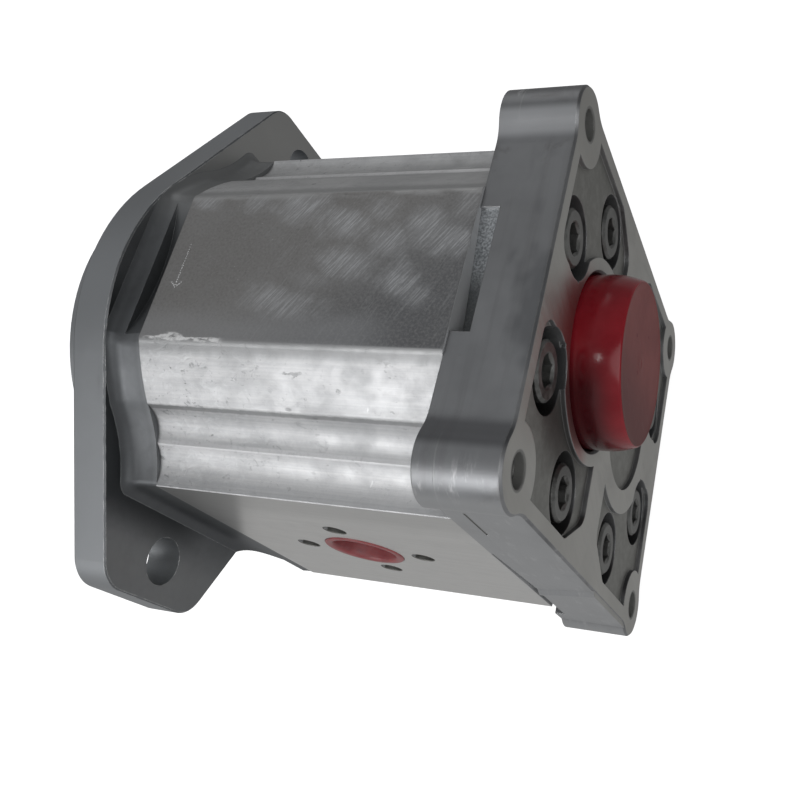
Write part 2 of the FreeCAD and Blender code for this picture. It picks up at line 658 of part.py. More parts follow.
GROOVE_DEPTH = SEAL_T + BACKUP_T
POCKET_DEPTH = 1.2
save(bearing_block(X_BODY0, X_GEAR0, (X_BODY0 - OVERRUN, X_BODY0 + GROOVE_DEPTH),
                   (X_GEAR0 - POCKET_DEPTH, X_GEAR0 + OVERRUN)), "front_bearing_block")
save(bearing_block(X_GEAR1, X_BODY1, (X_BODY1 - GROOVE_DEPTH, X_BODY1 + OVERRUN),
                   (X_GEAR1 - OVERRUN, X_GEAR1 + POCKET_DEPTH)), "rear_bearing_block")

for end, x0, x1 in (("front", X_BODY0, X_GEAR0), ("rear", X_GEAR1, X_BODY1)):
    save(bush(x0, x1, 0.0), end + "_drive_bush")
    save(bush(x0, x1, DRIVEN_Z), end + "_driven_bush")

# end, body face, direction into the body
for end, face, inward in (("front", X_BODY0, 1), ("rear", X_BODY1, -1)):
    stops = [face + inward * depth for depth in (0, SEAL_T, GROOVE_DEPTH)]
    radii = (BLOCK_GROOVE_R[0] - SEAL_GAP, BLOCK_GROOVE_R[1] + SEAL_GAP)
    save(open_ring(*radii, *sorted(stops[:2])), end + "_pressure_seal")
    save(open_ring(*radii, *sorted(stops[1:])), end + "_backup_ring")
    radii = (BODY_GROOVE_R[0] - SEAL_GAP, BODY_GROOVE_R[1] + SEAL_GAP)
    save(fig8_ring(*radii, *sorted((face, face - inward * SEAL_T))), end + "_body_seal")

# ---------------------------------------------------------------- shaft seal
SEAL_X0 = -5.5
CASE_IN_R = 18.9
LUG_Y, LUG_Z = 5.2, 17.4       # snap ring lugs


def snap_ring():
    ring = cyl(SNAP_R, *SNAP_X).cut(cyl(17.8, -8, -5))
    ring = ring.cut(box(-9, -4, -3.2, 3.2, 10, 30))
    for y in (LUG_Y, -LUG_Y):
        ring = ring.fuse(cyl(2.2, *SNAP_X, y, LUG_Z))
    for y in (LUG_Y, -LUG_Y):
        ring = ring.cut(cyl(1.0, -8, -5, y, LUG_Z))
    return ring.removeSplitter()


save(turned([(SEAL_X0, CASE_IN_R), (SEAL_X0, SEAL_SEAT_R), (SEAL_SEAT_X, SEAL_SEAT_R),
             (SEAL_SEAT_X, 14.4), (1.3, 14.4), (1.3, CASE_IN_R)]), "shaft_seal_case")
save(turned([(SEAL_X0, CASE_IN_R), (1.3, CASE_IN_R), (1.3, 17.2), (-3.6, 17.2), (-3.6, 13.8),
             (0.4, 12.7), (0.2, 11.03), (-0.5, 11.03), (-1.6, 12.1), (SEAL_X0, 12.4)]),
     "shaft_seal_lip")
save(Part.makeTorus(13.75, 0.6, vec(-0.6, 0, 0), X_AXIS), "seal_garter_spring")
save(snap_ring(), "seal_snap_ring")

# ---------------------------------------------------------------- dowels, screws and washers
HEX_R = 4.0 / math.cos(math.radians(30))   # socket corner radius


def dowel_pins(seam):
    x0, x1 = seam - DOWEL_REACH, seam + DOWEL_REACH
    profile = [(x0, 0), (x0, DOWEL_R - 0.5), (x0 + 0.5, DOWEL_R), (x1 - 0.5, DOWEL_R),
               (x1, DOWEL_R - 0.5), (x1, 0)]
    return Part.makeCompound([turned(profile, y, z) for y, z in DOWELS])


def socket_screw(y, z):
    head = UNDER_HEAD
    screw = turned([(SCREW_TIP, 0), (SCREW_TIP, 4.1), (SCREW_TIP + 0.85, 4.95),
                    (head - 0.4, 4.95), (head, 5.2), (head, 7.6), (head + 0.4, 8.0),
                    (head + 9.2, 8.0), (head + 10.0, 7.2), (head + 10.0, 0)], y, z)
    angles = [math.radians(60 * k + 15) for k in range(6)]
    hexagon = polygon([vec(head + 5.0, y + HEX_R * math.cos(angle), z + HEX_R * math.sin(angle))
                       for angle in angles])
    screw = screw.cut(prism(hexagon, 10.0))
    screw = screw.cut(cone(HEX_R - 0.35, HEX_R + 0.45, head + 9.4, head + 10.2, y, z))
    return screw.cut(cone(0.5, HEX_R * 0.85, head + 3.6, head + 5.0, y, z))


def washer(y, z):
    return turned([(SEAT_X, SCREW_HOLE_R), (SEAT_X, 10.0), (SEAT_X + 1.5, 10.0),
                   (UNDER_HEAD, 9.7), (UNDER_HEAD, SCREW_HOLE_R)], y, z)


save(dowel_pins(X_BODY0), "front_dowel_pins")
save(dowel_pins(X_BODY1), "rear_dowel_pins")
save(Part.makeCompound([socket_screw(y, z) for y, z in SCREWS]), "body_screws")
save(Part.makeCompound([washer(y, z) for y, z in SCREWS]), "screw_washers")

# ---------------------------------------------------------------- transit plugs
# rear plug outline, (x, radius), on both sides of its barrel-shaped wall
PLUG_START = [(147.0, 0), (147.0, 20.6), (146.0, 21.6), (131.5, 22.8), (126.5, 23.3),
              (126.5, 25.3), (131.0, 25.3), (132.0, 24.8), (136.0, 24.75), (138.2, 24.85)]
PLUG_WALL_MIDDLE = (143.6, 24.6)
PLUG_END = [(148.2, 23.45), (148.8, 23.15), (149.0, 22.8), (149.0, 0), PLUG_START[0]]


def rear_plug():
    start = [vec(x, 0, radius) for x, radius in PLUG_START]
    end = [vec(x, 0, radius) for x, radius in PLUG_END]
    middle = vec(PLUG_WALL_MIDDLE[0], 0, PLUG_WALL_MIDDLE[1])
    wall = Part.Arc(start[-1], middle, end[0]).toShape()
    wire = Part.Wire(Part.makePolygon(start).Edges + [wall] + Part.makePolygon(end).Edges)
    return Part.Face(wire).revolve(vec(0, 0, 0), X_AXIS, 360)


def port_plug(port):
    """Push-in cap: thick lip in the bore's mouth chamfer, tapered cup with a closed bottom."""
    side, bore_r = port[:2]
    lip_r = bore_r + 0.4
    bottom = -9.0
    profile = [                # outward from the port face, radius
        (bottom, 0), (bottom, bore_r - 0.7), (bottom + 0.8, bore_r - 0.25),
        (-0.75, bore_r - 0.1), (-0.6, bore_r - 0.07), (-0.15, lip_r), (0.15, lip_r),
        (0.35, lip_r - 0.3), (0.4, bore_r - 2.1), (-0.3, bore_r - 2.7),
        (bottom + 1.2, bore_r - 3.4), (bottom + 1.2, 0)]
    wire = polygon([vec(PORT_X + radius, side * (BODY_HALF_Y + out), ZC)
                    for out, radius in profile])
    return Part.Face(wire).revolve(vec(PORT_X, 0, ZC), vec(0, 1, 0), 360)


save(rear_plug(), "rear_pilot_plug")
save(port_plug(OUTLET), "outlet_port_plug")
save(port_plug(INLET), "inlet_port_plug")
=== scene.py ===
"""Gear pump on a pale studio floor.

Metres, +Z up. The shaft runs along X: the mounting flange is at x = 0 and the rear cover
with its red transit plug at the +X end. The outlet port faces -Y, the inlet port +Y.
"""
import bpy
import bmesh
import json
import math
import random
from functools import cached_property, reduce
from mathutils import Vector, Matrix


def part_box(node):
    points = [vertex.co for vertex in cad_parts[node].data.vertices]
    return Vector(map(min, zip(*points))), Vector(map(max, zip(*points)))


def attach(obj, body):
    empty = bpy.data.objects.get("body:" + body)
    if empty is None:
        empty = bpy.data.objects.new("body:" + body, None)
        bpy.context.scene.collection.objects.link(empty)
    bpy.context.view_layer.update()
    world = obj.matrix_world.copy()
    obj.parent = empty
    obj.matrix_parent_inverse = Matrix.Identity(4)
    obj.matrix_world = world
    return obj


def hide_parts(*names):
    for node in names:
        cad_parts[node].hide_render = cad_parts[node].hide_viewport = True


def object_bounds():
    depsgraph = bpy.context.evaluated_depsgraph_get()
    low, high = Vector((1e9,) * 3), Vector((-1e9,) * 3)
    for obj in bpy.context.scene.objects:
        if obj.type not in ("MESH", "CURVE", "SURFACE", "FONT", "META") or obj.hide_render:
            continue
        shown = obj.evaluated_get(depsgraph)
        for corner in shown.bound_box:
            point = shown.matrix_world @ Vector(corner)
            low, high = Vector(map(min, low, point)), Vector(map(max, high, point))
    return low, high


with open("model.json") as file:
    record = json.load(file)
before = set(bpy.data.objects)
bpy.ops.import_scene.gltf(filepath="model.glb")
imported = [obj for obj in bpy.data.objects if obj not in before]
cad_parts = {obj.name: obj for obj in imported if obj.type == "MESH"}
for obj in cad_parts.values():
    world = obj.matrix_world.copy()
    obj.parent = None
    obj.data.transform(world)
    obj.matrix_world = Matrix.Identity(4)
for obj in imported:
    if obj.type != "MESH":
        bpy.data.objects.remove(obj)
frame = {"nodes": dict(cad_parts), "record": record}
CAD_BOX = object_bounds()
NODES = frame["nodes"]
rng = random.Random(7)
scene = bpy.context.scene

# ------------------------------------------------------------------ driving sizes
PORT_X = 0.0666             # axis of both ports
PORT_FACE = 0.057           # |y| of the port faces
MID_DROP = 0.021            # the housing section is centred this far below z = 0
TOP_Z = 0.0515              # top face of the body
REAR_HOLE_Y = 0.0492        # rear tapped holes, each side of y = 0
REAR_HOLE_Z = 0.064         # and above and below the section's centre
OUTLET_CIRCLE = 0.040 / 2   # pitch radius of the tapped holes round each port
INLET_CIRCLE = 0.051 / 2
STAGE_X = 0.07              # the floor is centred and the lights aim near here


# ------------------------------------------------------------------ shader graphs
class Field:
    """One shader output. Arithmetic on it adds math nodes."""

    def __init__(self, graph, socket):
        self.graph = graph
        self.socket = socket

    def math(self, operation, *others):
        operands = dict(enumerate((self, *others)))
        return self.graph.add("ShaderNodeMath", operands, operation=operation)

    def __add__(self, other):
        return self.math("ADD", other)

    def __sub__(self, other):
        return self.math("SUBTRACT", other)

    def __rsub__(self, other):
        return self.graph.add("ShaderNodeMath", {0: other, 1: self}, operation="SUBTRACT")

    def __mul__(self, other):
        return self.math("MULTIPLY", other)

    def __abs__(self):
        return self.math("ABSOLUTE")

    def ramp(self, lo=0.3, hi=0.7, to=(0.0, 1.0)):
        """Eases from to[0] to to[1] as the value goes from lo to hi; lo may exceed hi."""
        inputs = {"Value": self, "From Min": lo, "From Max": hi, "To Min": to[0], "To Max": to[1]}
        return self.graph.add("ShaderNodeMapRange", inputs, "Result",
                              interpolation_type="SMOOTHSTEP", clamp=True)

    def near(self, centre, half, soft):
        """1 inside centre +- half, fading over soft."""
        return abs(self - centre).ramp(lo=half, hi=half + soft, to=(1.0, 0.0))

    def colours(self, low, high):
        """A colour that goes from low to high as this goes from 0 to 1."""
        return self.graph.add("ShaderNodeMix", {0: self, 6: low, 7: high}, 2,
                              data_type="RGBA", blend_type="MIX")

    def values(self, low, high):
        """A number that goes from low to high as this goes from 0 to 1."""
        return self.graph.add("ShaderNodeMix", {0: self, 2: low, 3: high}, data_type="FLOAT")

    def paint(self, tint, where, strength=None):
        """This colour with a tint laid over it under a mask."""
        if strength is not None:
            where = where * strength
        return where.colours(low=self, high=tint)

    def toward(self, target, where):
        """This number replaced by a target under a mask."""
        return where.values(low=self, high=target)

    def xyz(self):
        self_node = self.graph.add("ShaderNodeSeparateXYZ", {0: self}).socket.node
        return [Field(self.graph, socket) for socket in self_node.outputs]


class Graph:
    """A node tree with an output node and short calls for adding more."""

    def __init__(self, tree, output_kind):
        self.tree = tree
        tree.nodes.clear()
        self.end = tree.nodes.new(output_kind)

    def add(self, kind, inputs, output=0, **settings):
        """Adds a node, feeds its inputs by name or index, and returns one output."""
        node = self.tree.nodes.new(kind)
        for name, value in settings.items():
            setattr(node, name, value)
        for key, value in inputs.items():
            socket = node.inputs[key]
            if isinstance(value, Field):
                self.tree.links.new(value.socket, socket)
            elif socket.type == "RGBA" and len(value) == 3:
                socket.default_value = (*value, 1.0)
            else:
                socket.default_value = value
        return Field(self, node.outputs[output])

    def vector(self, operation, first, second, output=0):
        return self.add("ShaderNodeVectorMath", {0: first, 1: second}, output,
                        operation=operation)

    def camera_switch(self, hidden, seen):
        """Ends the graph: one shader for camera rays, another for all other rays."""
        is_camera = self.add("ShaderNodeLightPath", {}, "Is Camera Ray")
        self.surface(self.add("ShaderNodeMixShader", {0: is_camera, 1: hidden, 2: seen}))

    def surface(self, shader):
        self.tree.links.new(shader.socket, self.end.inputs["Surface"])


class Material(Graph):
    """A material's graph, worked in object coordinates."""

    def __init__(self, name):
        self.data = bpy.data.materials.new(name)
        self.data.use_nodes = True
        super().__init__(self.data.node_tree, "ShaderNodeOutputMaterial")
        self.place = self.add("ShaderNodeTexCoord", {}, "Object")

    @cached_property
    def normal(self):
        return self.add("ShaderNodeNewGeometry", {}, "Normal")

    @cached_property
    def xyz(self):
        return self.place.xyz()

    @cached_property
    def normal_xyz(self):
        return self.normal.xyz()

    def stretched(self, place, stretch, turn=None):
        """Turns coordinates by degrees, then stretches them."""
        if turn:
            angles = tuple(math.radians(angle) for angle in turn)
            place = self.add("ShaderNodeMapping", {"Vector": place, "Rotation": angles})
        return self.add("ShaderNodeMapping", {"Vector": place, "Scale": stretch})

    def noise(self, scale=1.0, detail=3.0, rough=0.55, distort=0.0, stretch=None, turn=None):
        place = self.stretched(self.place, stretch, turn) if stretch else self.place
        inputs = {"Vector": place, "Scale": scale, "Detail": detail, "Roughness": rough,
                  "Distortion": distort}
        return self.add("ShaderNodeTexNoise", inputs, "Fac")

    def cells(self, scale, stretch=None):
        """Distance to the nearest of scattered points."""
        place = self.stretched(self.place, stretch) if stretch else self.place
        return self.add("ShaderNodeTexVoronoi", {"Vector": place, "Scale": scale}, "Distance")

    def spot(self, centre, size, wobble, lo, hi, turn=0.0):
        """Soft ellipse with a ragged rim, turned about Z by degrees."""
        offset = self.vector("SUBTRACT", self.place, centre)
        scaled = self.stretched(offset, tuple(1.0 / half for half in size), (0, 0, turn))
        distance = self.add("ShaderNodeVectorMath", {0: scaled}, "Value", operation="LENGTH")
        return (distance + (wobble - 0.5) * 1.6).ramp(lo=lo, hi=hi, to=(1.0, 0.0))

    def bevel(self, radius):
        return self.add("ShaderNodeBevel", {"Radius": radius}, samples=4)

    def edge(self, bevel):
        """0 on open faces, 1 on sharp edges."""
        facing = self.vector("DOT_PRODUCT", bevel, self.normal, "Value")
        return (1.0 - facing).ramp(lo=0.004, hi=0.12)

    def openness(self, distance):
        """Ambient occlusion: 1 in the open, falling in corners."""
        return self.add("ShaderNodeAmbientOcclusion", {"Distance": distance}, "AO", samples=4)

    def bump(self, height, strength, distance, normal=None):
        inputs = {"Strength": strength, "Distance": distance, "Height": height}
        if normal is not None:
            inputs["Normal"] = normal
        return self.add("ShaderNodeBump", inputs)

    def principled(self, **inputs):
        """Ends the graph and returns the Blender material."""
        named = {name.replace("_", " "): value for name, value in inputs.items()}
        self.surface(self.add("ShaderNodeBsdfPrincipled", named))
        return self.data


def grey(level):
    return (level, level, level)


def union(masks):
    return reduce(lambda joined, mask: joined.math("MAXIMUM", mask), masks)


def span(first, second):
    """Distance from two offsets at right angles."""
    return (first * first + second * second).math("SQRT")


# ------------------------------------------------------------------ body material
# worn patches on the top: centre x, centre y, half-size x, half-size y, weight
WORN_PATCHES = (
    (0.0607, 0.0187, 0.0075, 0.0042, 1.0), (0.0450, 0.0210, 0.0042, 0.0030, 0.7),
    (0.0765, 0.0131, 0.0075, 0.0036, 1.0), (0.0905, 0.0076, 0.0055, 0.0036, 0.9),
    (0.1005, 0.0115, 0.0045, 0.0042, 1.0), (0.1085, 0.0075, 0.0050, 0.0040, 1.0),
    (0.0800, 0.0006, 0.0075, 0.0036, 0.9), (0.0968, -0.0042, 0.0050, 0.0034, 1.0),
    (0.0640, -0.0112, 0.0100, 0.0036, 0.7), (0.0865, 0.0172, 0.0045, 0.0034, 0.6),
    (0.1033, -0.0088, 0.0040, 0.0026, 0.6), (0.0715, -0.0045, 0.0050, 0.0026, 0.4),
    (0.1110, 0.0185, 0.0030, 0.0040, 0.5), (0.0280, 0.0215, 0.0038, 0.0022, 0.8),
)
# short bright nicks across the flutes: centre, width
FLUTE_NICKS = (
    ((0.0870, -0.0520, 0.0275), 0.0006), ((0.0905, -0.0507, 0.0268), 0.0005),
    ((0.031, -0.0525, 0.0262), 0.0004), ((0.0599, -0.0435, 0.0335), 0.0005),
    ((0.052, 0.0415, 0.0330), 0.0006), ((0.095, -0.0530, 0.0258), 0.0006),
    ((0.0925, -0.0360, 0.0405), 0.0005),
)
# dull impact marks on the shoulders: centre, radius
IMPACTS = (
    ((0.0394, -0.0292, 0.0475), 0.0012), ((0.0845, -0.0330, 0.0443), 0.0010),
    ((0.058, 0.0300, 0.0465), 0.0010),
)


def drawn_flanks(mat, from_mid, mottle, fine):
    """Extruded flanks. Returns colour, roughness, height and the scaly noise."""
    x, y, z = mat.xyz
    streak = mat.noise(stretch=(14.0, 1500.0, 1500.0), detail=4.0, rough=0.6)
    wide = mat.noise(stretch=(3.0, 330.0, 330.0), rough=0.6)
    blotch = mat.noise(scale=42.0, detail=4.0, rough=0.6, stretch=(1.0, 1.7, 1.7))
    scaly = mat.noise(scale=380.0, detail=5.0, rough=0.7, distort=1.2, stretch=(0.7, 1.0, 1.0))
    pit_noise = mat.noise(scale=480.0, rough=0.6, stretch=(0.6, 1.0, 1.0))
    flange_end = x.ramp(lo=0.085, hi=0.024)
    pit_zone = (mat.noise(scale=48.0, detail=2.0, rough=0.5).ramp(lo=0.42, hi=0.62)
                * (flange_end * 0.6 + 0.4))
    pits = pit_noise.ramp(lo=0.63, hi=0.72) * pit_zone
    dings = mat.cells(scale=75.0, stretch=(0.5, 1.0, 1.0)).ramp(lo=0.050, hi=0.02)
    worn_in = flange_end * 0.7 + 0.3

    colour = streak.ramp().colours(low=(0.80, 0.805, 0.815), high=(0.90, 0.90, 0.905))
    colour = colour.paint((0.76, 0.765, 0.775), where=wide.ramp(lo=0.35, hi=0.65, to=(0, 0.30)))
    colour = colour.paint((0.58, 0.585, 0.595), where=mottle.ramp(lo=0.40, hi=0.72, to=(0, 0.34)))
    colour = colour.paint((0.52, 0.53, 0.54), where=blotch.ramp(lo=0.48, hi=0.68), strength=0.34)
    colour = colour.paint((0.95, 0.96, 0.97), where=scaly.ramp(lo=0.52, hi=0.66) * worn_in,
                          strength=0.55)
    colour = colour.paint((0.26, 0.27, 0.28), where=scaly.ramp(lo=0.42, hi=0.32) * worn_in,
                          strength=0.55)
    colour = colour.paint((0.16, 0.16, 0.165), where=pits, strength=0.75)
    colour = colour.paint((0.30, 0.30, 0.31), where=dings, strength=0.45)

    # dark line where the shoulder turns into the flute
    side = abs(y)
    waver_noise = mat.noise(scale=260.0, detail=4.0, rough=0.65, stretch=(1.0, 0.2, 0.2))
    waver = (waver_noise - 0.5) * 0.0012
    shoulder_dark_line = (from_mid + waver).near(centre=0.0596, half=0.0005, soft=0.0006)
    colour = colour.paint((0.24, 0.245, 0.25), where=shoulder_dark_line * side.ramp(lo=0.036, hi=0.0375),
                          strength=0.50)
    # darker strip along the shoulder's outer edge
    darker_outer_strip = (from_mid + waver * 0.8).ramp(lo=0.0695, hi=0.0712)
    colour = colour.paint((0.42, 0.425, 0.43), where=darker_outer_strip, strength=0.65)
    # painted highlight along the ridge line
    ridge = (from_mid + waver * 0.25).near(centre=0.0516, half=0.00022, soft=0.00028)
    ridge = (ridge * side.near(centre=0.0461, half=0.0008, soft=0.0008)
             * fine.ramp(lo=0.30, hi=0.5, to=(0.45, 1.0)))
    colour = colour.paint((0.98, 0.98, 0.99), where=ridge, strength=0.85)
    # vertical water stains on the lower flute
    drip = mat.noise(stretch=(330.0, 18.0, 18.0), rough=0.6).ramp(lo=0.66, hi=0.78)
    colour = colour.paint(grey(0.30), where=drip * side.ramp(lo=0.046, hi=0.05), strength=0.30)

    rough = mottle.ramp().values(low=0.47, high=0.60)
    # weights of the relief
    height = (streak * 0.16 + wide * 0.12 + fine * 0.30 + scaly * worn_in * 1.6
              - pits * 0.9 - dings * 0.8)
    return colour, rough, height, scaly


def scratched_top(mat, lay, fine):
    """Dark oxide film worn through by diagonal scratches.

    Returns colour, roughness, height and the mask of the bright strokes."""
    x, y, z = mat.xyz
    cross_lay = mat.noise(stretch=(90.0, 1700.0, 1.0), turn=(0, 0, -66), rough=0.7)
    hair = mat.noise(stretch=(60.0, 2600.0, 1.0), turn=(0, 0, -52), detail=2.0, rough=0.6)
    wobble = mat.noise(scale=210.0, detail=4.0, rough=0.6)
    film = mat.noise(scale=34.0, detail=4.0, rough=0.6)
    grit = mat.noise(scale=1300.0, rough=0.7)

    worn = union(
        mat.spot(centre=(patch_x, patch_y, TOP_Z), size=(half_x * 1.30, half_y * 1.35, 0.004),
                 turn=8.0, wobble=wobble, lo=0.10, hi=1.45) * weight
        for patch_x, patch_y, half_x, half_y, weight in WORN_PATCHES)
    strokes = worn * lay.ramp(lo=0.44, hi=0.64)
    haze = worn * 0.26
    faint_strokes = (cross_lay.ramp(lo=0.50, hi=0.72)
                     * mat.noise(scale=60.0).ramp(lo=0.40, hi=0.62)
                     * (x.ramp(lo=0.030, hi=0.075) * 0.22 + 0.10))

    colour = film.ramp(lo=0.3, hi=0.72).colours(low=(0.372, 0.360, 0.350),
                                               high=(0.440, 0.434, 0.430))
    cool = (x - y * 1.2).ramp(lo=0.060, hi=0.125)
    colour = colour.paint((0.236, 0.240, 0.250), where=cool, strength=0.90)
    colour = colour.paint((0.52, 0.515, 0.51), where=grit.ramp(lo=0.42, hi=0.70, to=(0, 0.40)))
    colour = colour.paint((0.22, 0.218, 0.216), where=grit.ramp(lo=0.45, hi=0.28, to=(0, 0.40)))
    pale = ((y + (film - 0.5) * 0.012).ramp(lo=-0.0115, hi=-0.0200)
            * x.ramp(lo=0.106, hi=0.085))
    colour = colour.paint((0.58, 0.585, 0.60), where=pale, strength=0.45)
    colour = colour.paint((0.68, 0.69, 0.71), where=haze, strength=1.5)
    colour = colour.paint((0.93, 0.94, 0.96), where=strokes, strength=0.62)
    colour = colour.paint((0.66, 0.67, 0.68), where=faint_strokes)
    colour = colour.paint((0.66, 0.66, 0.67), where=hair.ramp(lo=0.71, hi=0.77), strength=0.25)
    specks = (mat.cells(scale=520.0).ramp(lo=0.12, hi=0.06)
              * mat.noise(scale=60.0, detail=2.0).ramp(lo=0.54, hi=0.64)
              * x.ramp(lo=0.075, hi=0.04))
    colour = colour.paint(grey(0.75), where=specks, strength=0.8)
    inlet_edge = (y.ramp(lo=0.0208, hi=0.0226)
                  * mat.noise(stretch=(60.0, 200.0, 1.0)).ramp(lo=0.40, hi=0.6))
    colour = colour.paint(grey(0.66), where=inlet_edge, strength=0.75)

    rough = film.ramp().values(low=0.44, high=0.54)
    return colour, rough, lay * 0.4 + fine * 0.3, strokes


def port_faces(mat, mottle, fine):
    """Milled satin with faint cutter lines. Returns colour and height."""
    x, y, z = mat.xyz
    cut = mat.noise(stretch=(25.0, 1.0, 1900.0), rough=0.6)
    colour = cut.ramp(lo=0.35, hi=0.65).colours(low=(0.83, 0.825, 0.81),
                                               high=(0.88, 0.875, 0.86))
    colour = colour.paint((0.74, 0.74, 0.73), where=mottle.ramp(lo=0.45, hi=0.75, to=(0, 0.30)))
    # shade beside the flange ear, along a sloping line
    past_ear = x - (z * 0.62 + 0.0345)
    shade = past_ear.ramp(lo=0.0022, hi=-0.0028) * y.ramp(lo=0.0, hi=-0.01)
    colour = colour.paint((0.28, 0.28, 0.278), where=shade, strength=0.44)
    colour = colour.paint((0.56, 0.56, 0.55), where=z.ramp(lo=0.006, hi=0.018), strength=0.30)
    return colour, cut * 0.4 + fine * 0.15


def port_tapped_holes(mat, from_mid):
    """Mask of the tapped holes round both ports."""
    x, y, z = mat.xyz

    def by_side(outlet, inlet):
        return y.ramp(lo=-0.001, hi=0.001).values(low=outlet, high=inlet)

    circle = by_side(outlet=OUTLET_CIRCLE, inlet=INLET_CIRCLE)
    across = abs(x - PORT_X)
    beside = span(across - circle, from_mid)
    above = span(across, from_mid - circle)
    hole_radius = by_side(outlet=0.00375, inlet=0.00465)
    inside = (beside.math("MINIMUM", above) - hole_radius).ramp(lo=0.00003, hi=-0.00003)
    return (inside * abs(y).ramp(lo=0.0440, hi=0.0450)
            * abs(y).ramp(lo=0.05701, hi=0.05697))


def top_edge_nick(mat, lay):
    """Mask of the bright worn nick along the top edge near the flange."""
    x, y, z = mat.xyz
    ragged = mat.noise(stretch=(230.0, 700.0, 700.0), detail=4.0, rough=0.65)
    frayed = y + (ragged - 0.5) * 0.0026
    hump = x.near(centre=0.0325, half=0.0012, soft=0.0045) * 0.0012
    return ((frayed - hump).ramp(lo=-0.0224, hi=-0.0229) * frayed.ramp(lo=-0.0240, hi=-0.0233)
            * x.near(centre=0.0365, half=0.0110, soft=0.0030) * z.ramp(lo=0.0495, hi=0.0503)
            * ragged.ramp(lo=0.36, hi=0.52) * lay.ramp(lo=0.34, hi=0.50, to=(0.55, 1.0)))


def body_aluminium():
    """Extruded aluminium: drawn flanks, scratched dark top, satin port faces."""
    mat = Material("body_aluminium")
    x, y, z = mat.xyz
    normal_x, normal_y, normal_z = mat.normal_xyz
    top = normal_z.ramp(lo=0.93, hi=0.985) * z.ramp(lo=0.0500, hi=0.0510)
    port = abs(normal_y).ramp(lo=0.97, hi=0.995) * abs(y).ramp(lo=0.0562, hi=0.0566)
    ends = abs(normal_x).ramp(lo=0.90, hi=0.98)
    from_mid = abs(z + MID_DROP)
    mottle = mat.noise(scale=120.0, detail=5.0, rough=0.62)
    fine = mat.noise(scale=900.0, detail=4.0, rough=0.65)
    lay = mat.noise(stretch=(105.0, 1700.0, 1.0), turn=(0, 0, -57), detail=4.0, rough=0.72)

    colour, rough, height, scaly = drawn_flanks(mat, from_mid, mottle, fine)
    top_colour, top_rough, top_height, strokes = scratched_top(mat, lay, fine)
    port_colour, port_height = port_faces(mat, mottle, fine)
    colour = colour.paint(top_colour, where=top).paint(port_colour, where=port)
    rough = rough.toward(top_rough, where=top).toward(0.44, where=port)
    rough = rough.toward(0.40, where=strokes * top)
    height = height.toward(top_height, where=top).toward(port_height, where=port)

    bevel = mat.bevel(radius=0.00030)
    tapped = port_tapped_holes(mat, from_mid)
    edges = (mat.edge(bevel) * mat.noise(scale=260.0).ramp(lo=0.38, hi=0.62, to=(0.15, 1.0))
             * (1.0 - tapped))
    colour = colour.paint((0.85, 0.85, 0.86), where=edges, strength=0.12)
    colour = colour.paint((0.30, 0.295, 0.28), where=tapped)
    nick = top_edge_nick(mat, lay)
    colour = colour.paint(grey(1.0), where=nick)
    rough = rough.toward(0.55, where=nick)
    for centre, width in FLUTE_NICKS:
        mark = mat.spot(centre=centre, size=(width * 0.55, 0.0010, 0.0015), turn=25.0,
                        wobble=fine, lo=0.70, hi=1.10)
        colour = colour.paint((0.97, 0.97, 0.98), where=mark, strength=0.6)
        rough = rough.toward(0.40, where=mark)
    for centre, radius in IMPACTS:
        mark = mat.spot(centre=centre, size=grey(radius), wobble=scaly, lo=0.45, hi=0.95)
        colour = colour.paint((0.20, 0.205, 0.21), strength=0.6,
                              where=mark * fine.ramp(lo=0.35, hi=0.6, to=(0.2, 1.0)))
    # painted shade in corners and creases, from ambient occlusion
    corners = mat.openness(distance=0.006).ramp(lo=0.25, hi=0.95, to=(0.55, 0.0))
    colour = colour.paint(grey(0.10), where=corners)
    colour = colour.paint((0.62, 0.63, 0.64), where=ends)
    inlet_side = normal_y.ramp(lo=0.05, hi=0.30) * y.ramp(lo=0.018, hi=0.024)
    colour = colour.paint((0.46, 0.46, 0.45), where=inlet_side, strength=0.28)
    return mat.principled(
        Base_Color=colour, Roughness=rough,
        Metallic=ends.math("MAXIMUM", nick).values(low=0.93, high=0.20),
        Normal=mat.bump(height, strength=0.45, distance=0.00016, normal=bevel))


